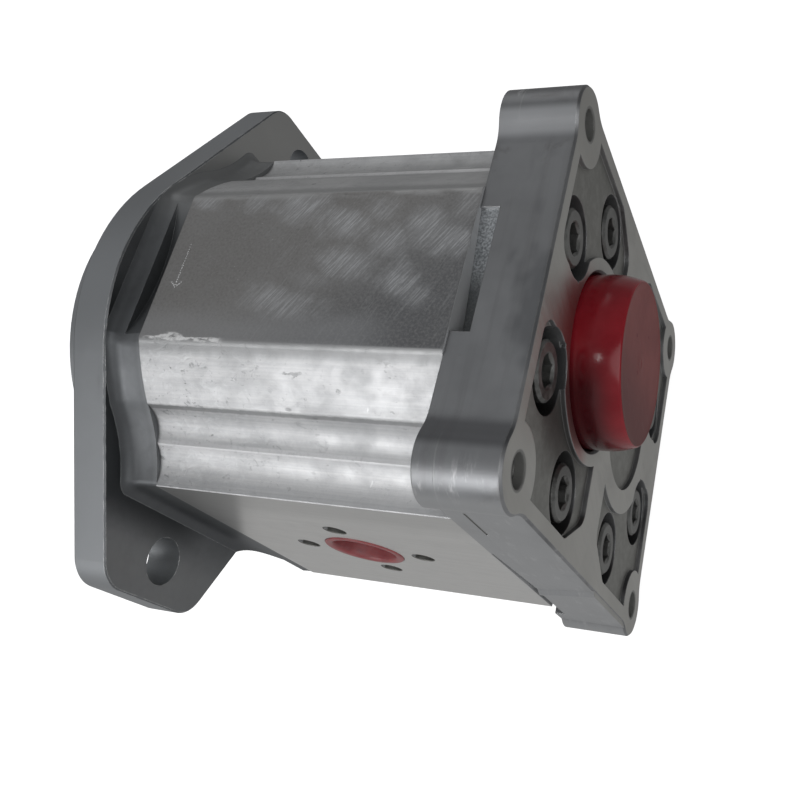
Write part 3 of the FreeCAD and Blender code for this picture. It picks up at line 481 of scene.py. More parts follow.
# ------------------------------------------------------------------ other metals
def flange_cast_iron():
    """Fine cast iron with a thin film, machined rim and bright scuffed edges."""
    mat = Material("flange_cast_iron")
    x, y, z = mat.xyz
    normal_x = mat.normal_xyz[0]
    cloud = mat.noise(scale=26.0, detail=4.0, rough=0.6)
    grain = mat.noise(scale=1500.0, rough=0.6)
    medium = mat.noise(scale=240.0, detail=4.0, rough=0.6)
    stain = mat.noise(scale=70.0, detail=4.0, rough=0.65, distort=0.4,
                      stretch=(1.0, 1.0, 0.6)).ramp(lo=0.56, hi=0.72)
    turning = mat.noise(stretch=(2600.0, 30.0, 30.0), detail=2.0, rough=0.5)

    colour = cloud.ramp().colours(low=(0.205, 0.214, 0.224), high=(0.270, 0.279, 0.290))
    colour = colour.paint((0.17, 0.176, 0.182), where=medium.ramp(lo=0.4, hi=0.7, to=(0, 0.30)))
    colour = colour.paint((0.14, 0.137, 0.133), where=stain, strength=0.25)
    rim = abs(normal_x).ramp(lo=0.55, hi=0.25) * x.ramp(lo=0.0125, hi=0.0121)
    colour = colour.paint((0.46, 0.475, 0.492), where=rim, strength=0.80)
    # painted shade: the boss darkens towards the plate, mostly on its -Y side
    boss = x.ramp(lo=0.01195, hi=0.0122)
    root = boss * x.ramp(lo=0.0195, hi=0.0130) * y.ramp(lo=0.015, hi=-0.015)
    colour = colour.paint((0.085, 0.090, 0.096), where=root, strength=0.55)
    # lighter band at the boss's rim: partly edge wear, partly painted highlight
    colour = colour.paint((0.42, 0.43, 0.44), where=boss * x.ramp(lo=0.0200, hi=0.0218),
                          strength=0.35)
    # painted light on the +Y side of the boss
    colour = colour.paint((0.40, 0.405, 0.405), where=boss * y.ramp(lo=0.010, hi=0.025),
                          strength=0.60)
    # painted light and shade on the plate: shaded beside the boss, lit out on the ears
    plate = (normal_x.ramp(lo=0.90, hi=0.97) * x.ramp(lo=0.0115, hi=0.0118)
             * x.ramp(lo=0.0125, hi=0.0122))
    colour = colour.paint((0.56, 0.56, 0.545), where=plate * y.ramp(lo=0.000, hi=0.065),
                          strength=0.75)
    colour = colour.paint((0.46, 0.465, 0.465), where=plate * y.ramp(lo=-0.063, hi=-0.076),
                          strength=0.30)
    painted_plate_shade = (plate * y.ramp(lo=0.0, hi=-0.02) * y.ramp(lo=-0.072, hi=-0.060)
           * z.ramp(lo=-0.020, hi=0.002))
    colour = colour.paint((0.045, 0.049, 0.053), where=painted_plate_shade, strength=0.88)
    mounting_face = normal_x.ramp(lo=-0.95, hi=-0.99) * x.ramp(lo=0.0006, hi=0.0002)
    colour = colour.paint((0.50, 0.50, 0.51), where=mounting_face)

    bevel = mat.bevel(radius=0.00030)
    plate_edge = x.ramp(lo=0.0105, hi=0.0112) * x.ramp(lo=0.0124, hi=0.0120)
    edges = (mat.edge(bevel) * mat.noise(scale=330.0).ramp(lo=0.36, hi=0.58, to=(0.1, 1.0))
             * (plate_edge * 0.9 + 0.25))
    colour = colour.paint((0.92, 0.93, 0.93), where=edges, strength=0.9)
    # painted shade in corners, weaker on the +Y side
    corners = mat.openness(distance=0.016).ramp(lo=0.25, hi=0.95, to=(0.55, 0.0))
    colour = colour.paint((0.07, 0.075, 0.075),
                          where=corners * y.ramp(lo=0.030, hi=0.008, to=(0.25, 1.0)))
    rough = cloud.ramp().values(low=0.44, high=0.54)
    rough = rough.toward(0.30, where=edges * 0.8).toward(0.40, where=stain)
    height = grain * 0.35 + medium * 0.75 + turning * rim * 0.15
    return mat.principled(
        Base_Color=colour, Metallic=0.85, Roughness=rough,
        Normal=mat.bump(height, strength=0.30, distance=0.00016, normal=bevel))


def cover_sides(mat, cloud, stripe, grain, parting):
    """Colour of the cover away from its ground face; also returns masks for slot and -Y side."""
    x, y, z = mat.xyz
    _, normal_y, normal_z = mat.normal_xyz
    colour = cloud.ramp().colours(low=(0.33, 0.335, 0.347), high=(0.42, 0.427, 0.44))
    colour = colour.paint((0.26, 0.26, 0.265), where=stripe.ramp(lo=0.45, hi=0.75, to=(0, 0.35)))
    blots = mat.noise(scale=75.0, detail=4.0, rough=0.6, distort=0.5).ramp(lo=0.58, hi=0.72)
    colour = colour.paint((0.20, 0.192, 0.188), where=blots, strength=0.55)
    colour = colour.paint((0.20, 0.20, 0.203), where=y.ramp(lo=-0.02, hi=0.02, to=(0, 0.22)))
    smudge = (mat.noise(stretch=(60.0, 34.0, 34.0)).ramp(lo=0.50, hi=0.64)
              * x.ramp(lo=0.1240, hi=0.1262))
    colour = colour.paint((0.19, 0.195, 0.205), where=smudge, strength=0.65)
    colour = colour.paint(grey(0.62), where=parting, strength=0.25)
    # bright rub patches on the corner lobes
    rub = (mat.noise(stretch=(420.0, 90.0, 90.0), detail=4.0, rough=0.7).ramp(lo=0.52, hi=0.66)
           * abs(y).ramp(lo=0.0480, hi=0.0560)
           * mat.noise(scale=130.0, rough=0.6).ramp(lo=0.45, hi=0.6))
    colour = colour.paint((0.74, 0.74, 0.75), where=rub, strength=0.6)
    # floor of the top slot: bare and grainy
    slot = (normal_z.ramp(lo=0.90, hi=0.95) * x.ramp(lo=0.1198, hi=0.1195)
            * abs(y).ramp(lo=0.0184, hi=0.0180) * z.ramp(lo=0.0501, hi=0.0499))
    bare = grain.ramp(lo=0.35, hi=0.65).colours(low=(0.36, 0.38, 0.40), high=(0.80, 0.83, 0.86))
    colour = colour.paint(bare, where=slot)
    # painted shade over the -Y part of the slot floor
    colour = colour.paint((0.19, 0.20, 0.205), where=slot * y.ramp(lo=0.0040, hi=-0.0060),
                          strength=0.85)
    # strip where the side curls up into a lobe: painted shade at -Y, painted light at +Y
    curl = (normal_y * y * -22.0).ramp(lo=0.03, hi=0.30)
    colour = colour.paint((0.085, 0.087, 0.093), where=curl * y.ramp(lo=0.001, hi=-0.001),
                          strength=0.72)
    lit_curl = curl * y.ramp(lo=-0.001, hi=0.001) * z.ramp(lo=0.0400, hi=0.0450)
    colour = colour.paint((0.80, 0.81, 0.83), where=lit_curl, strength=0.70)
    # painted shade under the +Y lobe
    shade_under_lobe = (y.ramp(lo=0.040, hi=0.044) * z.ramp(lo=0.0420, hi=0.0395)
                  * z.ramp(lo=0.0300, hi=0.0360))
    colour = colour.paint(grey(0.17), where=shade_under_lobe, strength=0.5)
    outlet_side = normal_y.ramp(lo=-0.8, hi=-0.97)
    colour = colour.paint((0.64, 0.65, 0.66), where=outlet_side, strength=0.7)
    return colour, slot, outlet_side


def cover_metal():
    """Rear cover: pale ground face, darker as-cast pockets, smooth grey sides."""
    mat = Material("cover_metal")
    x, y, z = mat.xyz
    normal_x = mat.normal_xyz[0]
    facing = normal_x.ramp(lo=0.95, hi=0.99)
    face = facing * x.ramp(lo=0.1354, hi=0.1358)
    pocket = x.ramp(lo=0.1354, hi=0.1350) * facing
    cloud = mat.noise(scale=34.0, detail=4.0, rough=0.6)
    grain = mat.noise(scale=1800.0, rough=0.6)
    medium = mat.noise(scale=300.0, detail=4.0, rough=0.65)
    grinding = mat.noise(stretch=(1.0, 900.0, 40.0), turn=(20, 0, 0), rough=0.6)
    stripe = mat.noise(stretch=(350.0, 12.0, 12.0), rough=0.6)
    # faint parting line of the casting over the corner lobes
    parting = (x.near(centre=0.1197, half=0.00010, soft=0.00022)
               * abs(y).ramp(lo=0.0440, hi=0.0460))

    face_colour = cloud.ramp().colours(low=(0.500, 0.495, 0.468), high=(0.570, 0.565, 0.536))
    face_colour = face_colour.paint((0.60, 0.60, 0.59),
                                    where=grinding.ramp(lo=0.4, hi=0.7, to=(0, 0.25)))
    smear = mat.noise(scale=60.0, detail=4.0, rough=0.6, distort=0.6,
                      stretch=(1.0, 1.0, 0.5)).ramp(lo=0.55, hi=0.7)
    face_colour = face_colour.paint((0.30, 0.30, 0.29), where=smear, strength=0.22)
    pocket_colour = medium.ramp(lo=0.35, hi=0.7).colours(low=(0.310, 0.310, 0.292),
                                                        high=(0.375, 0.375, 0.357))
    cast_skin = mat.noise(scale=700.0, detail=4.0, rough=0.7)
    pocket_colour = pocket_colour.paint((0.25, 0.25, 0.238),
                                        where=cast_skin.ramp(lo=0.45, hi=0.75, to=(0, 0.25)))
    colour, slot, outlet_side = cover_sides(mat, cloud, stripe, grain, parting)
    colour = colour.paint(face_colour, where=face).paint(pocket_colour, where=pocket)

    bevel = mat.bevel(radius=0.0005)
    from_hole = span(abs(y) - REAR_HOLE_Y, abs(z + MID_DROP) - REAR_HOLE_Z)
    in_hole = from_hole.ramp(lo=0.0052, hi=0.0047)
    edges = (mat.edge(bevel) * mat.noise(scale=300.0).ramp(lo=0.34, hi=0.56, to=(0.25, 1.0))
             * (1.0 - in_hole))
    colour = colour.paint((0.66, 0.66, 0.655), where=edges, strength=0.5)
    # painted shade in corners
    corners = mat.openness(distance=0.006).ramp(lo=0.2, hi=0.95, to=(0.40, 0.0))
    colour = colour.paint((0.110, 0.110, 0.104), where=corners)
    # painted shadow of the transit plug on the corner beside it, and the plug's painted red
    # reflection on the ground face
    painted_plug_shadow = mat.spot(centre=(0.1330, -0.0300, 0.0140), size=(0.0300, 0.0135, 0.0260),
                      wobble=cloud, lo=0.30, hi=1.25)
    painted_plug_shadow = (painted_plug_shadow * x.ramp(lo=0.1358, hi=0.1354) * normal_x.ramp(lo=-0.5, hi=0.2)
              * x.ramp(lo=0.117, hi=0.120))
    colour = colour.paint((0.084, 0.074, 0.068), where=painted_plug_shadow, strength=0.74)
    painted_red_reflection = (face * span(y, z).ramp(lo=0.0430, hi=0.0285) * y.ramp(lo=0.024, hi=0.004)
                * z.ramp(lo=-0.008, hi=0.004))
    colour = colour.paint((0.36, 0.075, 0.075), where=painted_red_reflection, strength=0.66)
    colour = colour.paint((0.24, 0.24, 0.230), where=in_hole)

    rough = cloud.ramp().values(low=0.40, high=0.50)
    rough = rough.toward(grinding.ramp().values(low=0.36, high=0.46), where=face)
    rough = rough.toward(0.55, where=pocket).toward(0.46, where=outlet_side * 1.0)
    height = grain * 0.3 + medium * 0.5 + stripe * 0.3 + parting * 0.8
    height = height.toward(grinding * 0.3 + grain * 0.3, where=face)
    height = height.toward(medium * 1.6, where=pocket) + slot * grain * 2.5
    return mat.principled(
        Base_Color=colour, Metallic=in_hole.values(low=0.90, high=0.10), Roughness=rough,
        Normal=mat.bump(height, strength=0.30, distance=0.00014, normal=bevel))


def steel(name, base, rough, dark=(0.2, 0.2, 0.21), grind=1800.0, wear=0.5):
    """Ground or turned metal; grind is the line density along X, wear the edge brightness."""
    mat = Material(name)
    lines = mat.noise(stretch=(grind, 18.0, 18.0), rough=0.6)
    cloud = mat.noise(scale=110.0, detail=4.0, rough=0.6)
    fine = mat.noise(scale=2400.0, detail=2.0, rough=0.5)
    brighter = tuple(min(1.0, channel * 1.25) for channel in base)
    colour = lines.ramp().colours(low=base, high=brighter)
    colour = colour.paint(dark, where=cloud.ramp(lo=0.45, hi=0.75, to=(0, 0.4)))
    bevel = mat.bevel(radius=0.0003)
    colour = colour.paint((0.85, 0.85, 0.86), where=mat.edge(bevel), strength=wear)
    # painted shade in corners
    corners = mat.openness(distance=0.003).ramp(lo=0.2, hi=0.9, to=(0.6, 0.0))
    colour = colour.paint(grey(0.04), where=corners)
    return mat.principled(
        Base_Color=colour, Metallic=1.0,
        Roughness=cloud.ramp().values(low=rough, high=rough + 0.12),
        Normal=mat.bump(lines * 0.6 + fine * 0.2, strength=0.22, distance=0.00008, normal=bevel))


def screw_oiled_steel():
    """Dull oiled steel with rubbed rims, painted shade inside the socket and a painted shadow of
    the transit plug.
    """
    mat = Material("screw_oiled_steel")
    cloud = mat.noise(scale=420.0, detail=4.0, rough=0.6)
    fine = mat.noise(scale=2600.0, rough=0.6)
    colour = cloud.ramp().colours(low=(0.195, 0.197, 0.190), high=(0.275, 0.277, 0.268))
    bevel = mat.bevel(radius=0.00045)
    rims = mat.edge(bevel) * cloud.ramp(lo=0.3, hi=0.6, to=(0.3, 1.0))
    colour = colour.paint((0.46, 0.46, 0.45), where=rims, strength=0.5)
    # painted shade inside the socket and in corners
    corners = mat.openness(distance=0.004).ramp(lo=0.35, hi=0.92, to=(0.95, 0.0))
    colour = colour.paint(grey(0.010), where=corners)
    # painted shadow of the transit plug on the screws beside it
    painted_plug_shadow = mat.spot(centre=(0.1280, -0.0310, 0.0150), size=(0.0300, 0.0140, 0.0250),
                      wobble=cloud, lo=0.45, hi=1.15)
    colour = colour.paint((0.060, 0.055, 0.052), where=painted_plug_shadow, strength=0.60)
    return mat.principled(
        Base_Color=colour, Metallic=0.85, Roughness=cloud.ramp().values(low=0.38, high=0.50),
        Normal=mat.bump(fine * 0.4 + cloud * 0.5, strength=0.35, distance=0.0001, normal=bevel))


# ------------------------------------------------------------------ plastics and rubber
# small dark marks on the transit plug's end: y, z, half-size y, half-size z
CAP_MARKS = (
    (0.0045, 0.0085, 0.0007, 0.0010), (-0.0035, 0.0020, 0.0005, 0.0011),
    (0.0105, -0.0040, 0.0004, 0.0009), (-0.0095, 0.0100, 0.0004, 0.0006),
)


def cap_red_plastic():
    """Deep red moulded polyethylene: glossy wall, hazy rubbed end face."""
    mat = Material("cap_red_plastic")
    x, y, z = mat.xyz
    end = mat.normal_xyz[0].ramp(lo=0.80, hi=0.995) * x.ramp(lo=0.1470, hi=0.1486)
    cloud = mat.noise(scale=95.0, detail=4.0, rough=0.6)
    fine = mat.noise(scale=1300.0, rough=0.6)
    scuff = mat.noise(stretch=(1.0, 900.0, 120.0), turn=(35, 0, 0),
                      rough=0.7).ramp(lo=0.60, hi=0.74)

    wall = cloud.ramp().colours(low=(0.330, 0.012, 0.022), high=(0.400, 0.020, 0.032))
    shade = y.ramp(lo=-0.004, hi=-0.018) * x.ramp(lo=0.1490, hi=0.1400)
    wall = wall.paint((0.040, 0.006, 0.008), where=shade, strength=0.86)
    end_colour = cloud.ramp().colours(low=(0.262, 0.056, 0.053), high=(0.312, 0.074, 0.070))
    # painted shade towards -Y on the end face
    end_colour = end_colour.paint((0.120, 0.022, 0.021),
                                  where=y.ramp(lo=0.004, hi=-0.017, to=(0, 0.72)))
    end_colour = end_colour.paint((0.42, 0.20, 0.21), where=scuff, strength=0.22)
    marks = union(
        mat.spot(centre=(0.1488, mark_y, mark_z), size=(0.004, half_y, half_z),
                 wobble=fine, lo=0.5, hi=1.1)
        for mark_y, mark_z, half_y, half_z in CAP_MARKS)
    end_colour = end_colour.paint((0.17, 0.010, 0.016), where=marks, strength=0.8)

    height = cloud * 1.6 + fine * 0.12 + scuff * end * 0.25
    return mat.principled(
        Base_Color=wall.paint(end_colour, where=end), Metallic=0.0,
        Roughness=cloud.ramp().values(low=0.16, high=0.23).toward(0.52, where=end),
        Normal=mat.bump(height, strength=0.20, distance=0.00018),
        Specular_IOR_Level=0.5, Subsurface_Weight=0.12,
        Subsurface_Radius=(0.004, 0.0008, 0.0006), Subsurface_Scale=0.6)


def port_plug_red_plastic():
    """Softer translucent red plastic."""
    mat = Material("port_plug_red_plastic")
    cloud = mat.noise(scale=210.0, detail=4.0, rough=0.6)
    fine = mat.noise(scale=1700.0, rough=0.6)
    return mat.principled(
        Base_Color=cloud.ramp().colours(low=(0.330, 0.085, 0.092), high=(0.400, 0.125, 0.130)),
        Metallic=0.0, Roughness=cloud.ramp().values(low=0.28, high=0.40),
        Normal=mat.bump(cloud + fine * 0.2, strength=0.22, distance=0.00012),
        Subsurface_Weight=0.35, Subsurface_Radius=(0.005, 0.001, 0.0008), Subsurface_Scale=0.6)


def seal_rubber():
    mat = Material("seal_rubber")
    fine = mat.noise(scale=1500.0, detail=4.0, rough=0.6)
    cloud = mat.noise(scale=160.0, rough=0.6)
    return mat.principled(
        Base_Color=cloud.ramp().colours(low=(0.018, 0.018, 0.019), high=(0.040, 0.040, 0.041)),
        Metallic=0.0, Roughness=fine.values(low=0.5, high=0.7),
        Normal=mat.bump(fine, strength=0.4, distance=0.0001))


def backup_ring_plastic():
    mat = Material("backup_ring_plastic")
    fine = mat.noise(scale=1100.0, detail=4.0, rough=0.6)
    return mat.principled(
        Base_Color=fine.ramp().colours(low=(0.66, 0.62, 0.53), high=(0.78, 0.75, 0.67)),
        Metallic=0.0, Roughness=fine.values(low=0.42, high=0.58),
        Normal=mat.bump(fine, strength=0.3, distance=0.0001))


MATERIALS = {
    "body_metal": body_aluminium(),
    "flange_iron": flange_cast_iron(),
    "cover_metal": cover_metal(),
    "gear_steel": steel("gear_ground_steel", base=(0.50, 0.51, 0.53), rough=0.24),
    "block_metal": steel("bearing_block_aluminium", base=(0.56, 0.56, 0.57), rough=0.36,
                         grind=1200.0),
    "bush_metal": steel("bush_bronze", base=(0.50, 0.36, 0.19), rough=0.33,
                        dark=(0.28, 0.19, 0.10)),
    "seal_rubber": seal_rubber(),
    "backup_plastic": backup_ring_plastic(),
    "pin_steel": steel("pin_steel", base=(0.42, 0.43, 0.45), rough=0.28),
    "screw_steel": screw_oiled_steel(),
    "plug_plastic": cap_red_plastic(),
    "port_plug_plastic": port_plug_red_plastic(),
}
PEENED = steel("peened_metal", base=grey(0.88), rough=0.35, wear=0.0, dark=grey(0.7))
THREAD = steel("thread_metal", base=(0.15, 0.15, 0.145), rough=0.45, wear=0.15,
               dark=grey(0.07))

slot_of = {part["node"]: part["material_slot"] for part in frame["record"]["subparts"]}
for name, piece in NODES.items():
    piece.data.materials.clear()
    piece.data.materials.append(MATERIALS[slot_of[name]])


# ------------------------------------------------------------------ mesh builders
def mesh_object(bm, name, body, material, sharp_angle):
    """Turns a bmesh into a smooth-shaded object that rides on a body."""
    mesh = bpy.data.meshes.new(name)
    bm.to_mesh(mesh)
    bm.free()
    made = bpy.data.objects.new(name, mesh)
    scene.collection.objects.link(made)
    mesh.materials.append(material)
    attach(made, body)
    mesh.shade_smooth()
    mesh.set_sharp_from_angle(angle=math.radians(sharp_angle))
    return made


def axis_frame(axis):
    """Unit axis and two directions square to it."""
    along = Vector(axis).normalized()
    side = along.orthogonal().normalized()
    return along, side, along.cross(side)


def lathe(name, profile, origin, axis, body, slot, segments, sharp_angle):
    """Turned mesh from (along, radius) points; the first and last lie on the axis."""
    bm = bmesh.new()
    along, side, up = axis_frame(axis)
    start = Vector(origin)
    rings = []
    for reach, radius in profile:
        if radius < 1e-9:
            rings.append([bm.verts.new(start + along * reach)])
            continue
        angles = [2 * math.pi * k / segments for k in range(segments)]
        rings.append([bm.verts.new(start + along * reach
                                   + (side * math.cos(a) + up * math.sin(a)) * radius)
                      for a in angles])
    for ring, following in zip(rings, rings[1:]):
        for k in range(segments):
            j = (k + 1) % segments
            if len(ring) == 1:
                bm.faces.new((ring[0], following[j], following[k]))
            elif len(following) == 1:
                bm.faces.new((ring[k], ring[j], following[0]))
            else:
                bm.faces.new((ring[k], ring[j], following[j], following[k]))
    bmesh.ops.recalc_face_normals(bm, faces=bm.faces)
    return mesh_object(bm, name, body, MATERIALS[slot], sharp_angle)


def arc(centre, radius, start, end, steps):
    """Profile points of a small round; angles in degrees in the (along, radius) plane."""
    angles = [math.radians(start + (end - start) * k / steps) for k in range(steps + 1)]
    return [(centre[0] + radius * math.cos(a), centre[1] + radius * math.sin(a))
            for a in angles]


def round_through(first, middle, last, steps):
    """Points of the circle through three profile points, without the first."""
    (x1, r1), (x2, r2), (x3, r3) = first, middle, last
    scale = 2 * (x1 * (r2 - r3) + x2 * (r3 - r1) + x3 * (r1 - r2))
    sq1 = x1 ** 2 + r1 ** 2
    sq2 = x2 ** 2 + r2 ** 2
    sq3 = x3 ** 2 + r3 ** 2
    centre_x = (sq1 * (r2 - r3) + sq2 * (r3 - r1) + sq3 * (r1 - r2)) / scale
    centre_r = (sq1 * (x3 - x2) + sq2 * (x1 - x3) + sq3 * (x2 - x1)) / scale
    start = math.atan2(r1 - centre_r, x1 - centre_x)
    end = math.atan2(r3 - centre_r, x3 - centre_x)
    radius = math.hypot(x1 - centre_x, r1 - centre_r)
    angles = [start + (end - start) * i / steps for i in range(1, steps + 1)]
    return [(centre_x + radius * math.cos(a), centre_r + radius * math.sin(a))
            for a in angles]


def helix_thread(name, start, axis, root, tip, pitch, length):
    """Internal thread: a ridge that winds down a hole and fades in at both ends."""
    segments = 40   # per turn
    bm = bmesh.new()
    along, side, up = axis_frame(axis)
    origin = Vector(start)
    count = int(length / pitch * segments)
    previous = None
    for i in range(count + 1):
        angle = 2 * math.pi * i / segments
        outward = side * math.cos(angle) + up * math.sin(angle)
        advance = pitch * i / segments
        fade = min(1.0, i / (segments * 0.5), (count - i) / (segments * 0.5))
        crest = root + (tip - root) * fade
        foot = root + 2e-5
        section = ((-0.46, foot), (-0.10, crest), (0.10, crest), (0.46, foot))
        ring = [bm.verts.new(origin + along * (advance + pitch * turns) + outward * radius)
                for turns, radius in section]
        if previous:
            for k in range(4):
                j = (k + 1) % 4
                bm.faces.new((previous[k], previous[j], ring[j], ring[k]))
        else:
            bm.faces.new(ring)
        previous = ring
    bm.faces.new(previous[::-1])
    bmesh.ops.recalc_face_normals(bm, faces=bm.faces)
    mesh_object(bm, name, "housing", THREAD, sharp_angle=40)


# ------------------------------------------------------------------ rear transit plug
# rim and dished end face: distance inside the end plane, radius
CAP_END = (
    (0.00010, 0.02300), (0.00002, 0.02282), (0.0, 0.02262), (0.00004, 0.0224),
    (0.00012, 0.0220), (0.00020, 0.0212), (0.00026, 0.0200), (0.00036, 0.0150),
    (0.00044, 0.0100), (0.00050, 0.0050), (0.00050, 0.0022), (0.00044, 0.0018),
    (0.00044, 0.0014), (0.00052, 0.0011), (0.00052, 0.0),
)


def build_pilot_cap():
    """Moulded cup with its skirt in the rear bore and a soft rounded rim."""
    low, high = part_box("rear_pilot_plug")
    end_x = high.x - 0.00005
    # inside of the cup, from the axis out to the skirt's lip
    profile = [(end_x - 0.0020, 0.0), (end_x - 0.0020, 0.0196)]
    profile += arc((end_x - 0.0040, 0.0204), radius=0.0014, start=0, end=70, steps=4)
    profile += [(0.1316, 0.0228), (0.1265, 0.0234), (0.1265, 0.0249)]
    # skirt, then the barrel wall
    profile += arc((0.1269, 0.0249), radius=0.0004, start=180, end=90, steps=3)[1:]
    profile += [(0.1300, 0.02530), (0.1312, 0.02515), (0.1322, 0.02480), (0.1360, 0.02475),
                (0.1382, 0.02484)]
    profile += round_through(profile[-1], (0.1436, 0.02460), (0.1481, 0.02348), steps=18)
    profile += [(0.1484, 0.02336), (0.1487, 0.02318)]
    profile += [(end_x - inset, radius) for inset, radius in CAP_END]
    cap = lathe("pilot_cap", profile, (0, 0, (low.z + high.z) / 2), (1, 0, 0), "rear_plug",
                "plug_plastic", segments=160, sharp_angle=50)
    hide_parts("rear_pilot_plug")


build_pilot_cap()

# ------------------------------------------------------------------ port plugs
CUP_DEPTH = 0.009
# cup wall up to the lip: distance out from the port face, distance in from the bore
CUP_INSIDE = (
    (-0.0040, 0.00265), (-0.0012, 0.00230), (-0.0004, 0.00210), (0.0001, 0.00180),
    (0.00032, 0.00140), (0.00040, 0.00095), (0.00042, 0.00045),
)
# rolled lip: distance out from the port face, distance in from the lip radius
CUP_LIP = (
    (0.00038, 0.00035), (0.00025, 0.00012), (0.00008, 0.0), (-0.00010, 0.00002),
    (-0.00030, 0.00016),
)
# outer wall, same columns as the inside
CUP_OUTSIDE = (
    (-0.00060, 0.00007), (-0.00075, 0.00010), (-0.002, 0.00014), (-0.0028, 0.00006),
    (-0.0036, 0.00018), (-CUP_DEPTH + 0.0012, 0.0003), (-CUP_DEPTH + 0.0004, 0.0005),
    (-CUP_DEPTH, 0.0009),
)


def build_port_cup(name, node, side, bore, body):
    """Shallow cup in a port, with crossed ribs on its floor; side is -1 or 1 along Y."""
    low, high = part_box(node)
    lip = (high.x - low.x) / 2
    x = (low.x + high.x) / 2
    z = (low.z + high.z) / 2
    bottom = PORT_FACE - CUP_DEPTH
    profile = [(bottom + 0.0012, 0.0), (bottom + 0.0012, bore - 0.0040)]
    profile += arc((bottom + 0.0020, bore - 0.0039), radius=0.0008, start=180, end=95, steps=4)
    for stations, radius in ((CUP_INSIDE, bore), (CUP_LIP, lip), (CUP_OUTSIDE, bore)):
        profile += [(PORT_FACE + out, radius - inset) for out, inset in stations]
    profile.append((bottom, 0.0))
    cup = lathe(name, profile, (x, 0, z), (0, side, 0), body, "port_plug_plastic",
                segments=112, sharp_angle=40)
    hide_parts(node)

    rib_size = Matrix.Diagonal((2 * (bore - 0.0036), 0.0020, 0.0009, 1.0))
    bm = bmesh.new()
    for angle in (0.4, 0.4 + math.pi / 2):
        pose = (Matrix.Translation((x, side * (bottom + 0.0024), z))
                @ Matrix.Rotation(angle, 4, "Y"))
        bmesh.ops.create_cube(bm, size=1.0, matrix=pose @ rib_size)
    bmesh.ops.bevel(bm, geom=list(bm.edges), offset=0.00022, segments=2, affect="EDGES",
                    clamp_overlap=True)
    mesh_object(bm, name + "_ribs", body, MATERIALS["port_plug_plastic"],
                sharp_angle=40)


build_port_cup("outlet_cap", "outlet_port_plug", side=-1, bore=0.012, body="outlet_plug")
build_port_cup("inlet_cap", "inlet_port_plug", side=1, bore=0.0135, body="inlet_plug")


# ------------------------------------------------------------------ threads in tapped holes
corners = [(side, level) for side in (1, -1) for level in (1, -1)]
for number, (side, level) in enumerate(corners, start=1):
    place = (0.1340, side * REAR_HOLE_Y, -MID_DROP + level * REAR_HOLE_Z)
    helix_thread(f"rear_hole_thread_{number}", place, (-1, 0, 0), root=0.00425, tip=0.00392,
                 pitch=0.0015, length=0.0142)
# label, side along Y, pitch radius, thread root radius, thread pitch
for label, side, circle, root, pitch in (("out", -1, OUTLET_CIRCLE, 0.0034, 0.00125),
                                         ("in", 1, INLET_CIRCLE, 0.00425, 0.0015)):
    for quarter in range(4):
        angle = math.pi / 2 * quarter
        place = (PORT_X + circle * math.cos(angle), side * 0.0556,
                 -MID_DROP + circle * math.sin(angle))
        helix_thread(f"port_hole_thread_{label}_{quarter + 1}", place, (0, -side, 0), root=root,
                     tip=root - 0.00030, pitch=pitch, length=0.0070)

# ------------------------------------------------------------------ rotation arrow
DOT_RADIUS = 0.00024
DOT_SEGMENTS = 12
# raised rim of a dot: radius as a share of the dot's, height above the face
DOT_RINGS = ((1.35, -0.00001), (1.12, 0.00003), (0.85, 0.00004), (0.45, 0.00001))
ARROW_X = 0.0276
ARROW_TAIL_Y = 0.0067
ARROW_TIP_Y = -0.0072
SHAFT_STEPS = 18


def arrow_points():
    """Dots of the shaft, then pairs going back from the tip."""
    points = [(ARROW_X, ARROW_TAIL_Y + (ARROW_TIP_Y - ARROW_TAIL_Y) * i / SHAFT_STEPS)
              for i in range(SHAFT_STEPS + 1)]
    for i in range(1, 4):
        points.append((ARROW_X - 0.00052 * i, ARROW_TIP_Y + 0.00050 * i))
        points.append((ARROW_X + 0.00052 * i, ARROW_TIP_Y + 0.00050 * i))
    return points


def build_arrow():
    """Dot-peened rotation arrow on the top face."""
    bm = bmesh.new()
    angles = [2 * math.pi * i / DOT_SEGMENTS for i in range(DOT_SEGMENTS)]
    for x, y in arrow_points():
        radius = DOT_RADIUS * rng.uniform(0.8, 1.2)
        x += rng.uniform(-1, 1) * 0.00004
        y += rng.uniform(-1, 1) * 0.00004
        rings = [[bm.verts.new((x + radius * share * math.cos(a),
                                y + radius * share * math.sin(a), TOP_Z + height))
                  for a in angles] for share, height in DOT_RINGS]
        centre = bm.verts.new((x, y, TOP_Z + 0.000004))
        base = bm.verts.new((x, y, TOP_Z - 0.00003))
        for ring, following in zip(rings, rings[1:]):
            for i in range(DOT_SEGMENTS):
                j = (i + 1) % DOT_SEGMENTS
                bm.faces.new((ring[i], ring[j], following[j], following[i]))
        for i in range(DOT_SEGMENTS):
            j = (i + 1) % DOT_SEGMENTS
            bm.faces.new((rings[-1][i], rings[-1][j], centre))
            bm.faces.new((rings[0][j], rings[0][i], base))
    bmesh.ops.recalc_face_normals(bm, faces=bm.faces)
    mesh_object(bm, "rotation_arrow", "housing", PEENED, sharp_angle=60)


build_arrow()


# ------------------------------------------------------------------ camera
def build_camera():
    data = bpy.data.cameras.new("camera")
    data.lens = 42.681
    data.sensor_width = 36.0
    data.shift_x = -0.12423
    data.shift_y = -0.03075
    data.clip_start = 0.01
    data.clip_end = 50
    camera = bpy.data.objects.new("camera", data)
    camera.matrix_world = Matrix(((0.926602, -0.044628, 0.373387, 0.210934),
                                  (0.201655, 0.897062, -0.393212, -0.114868),
                                  (-0.317403, 0.439646, 0.840218, 0.233654),
                                  (0, 0, 0, 1)))
    scene.collection.objects.link(camera)
    scene.camera = camera


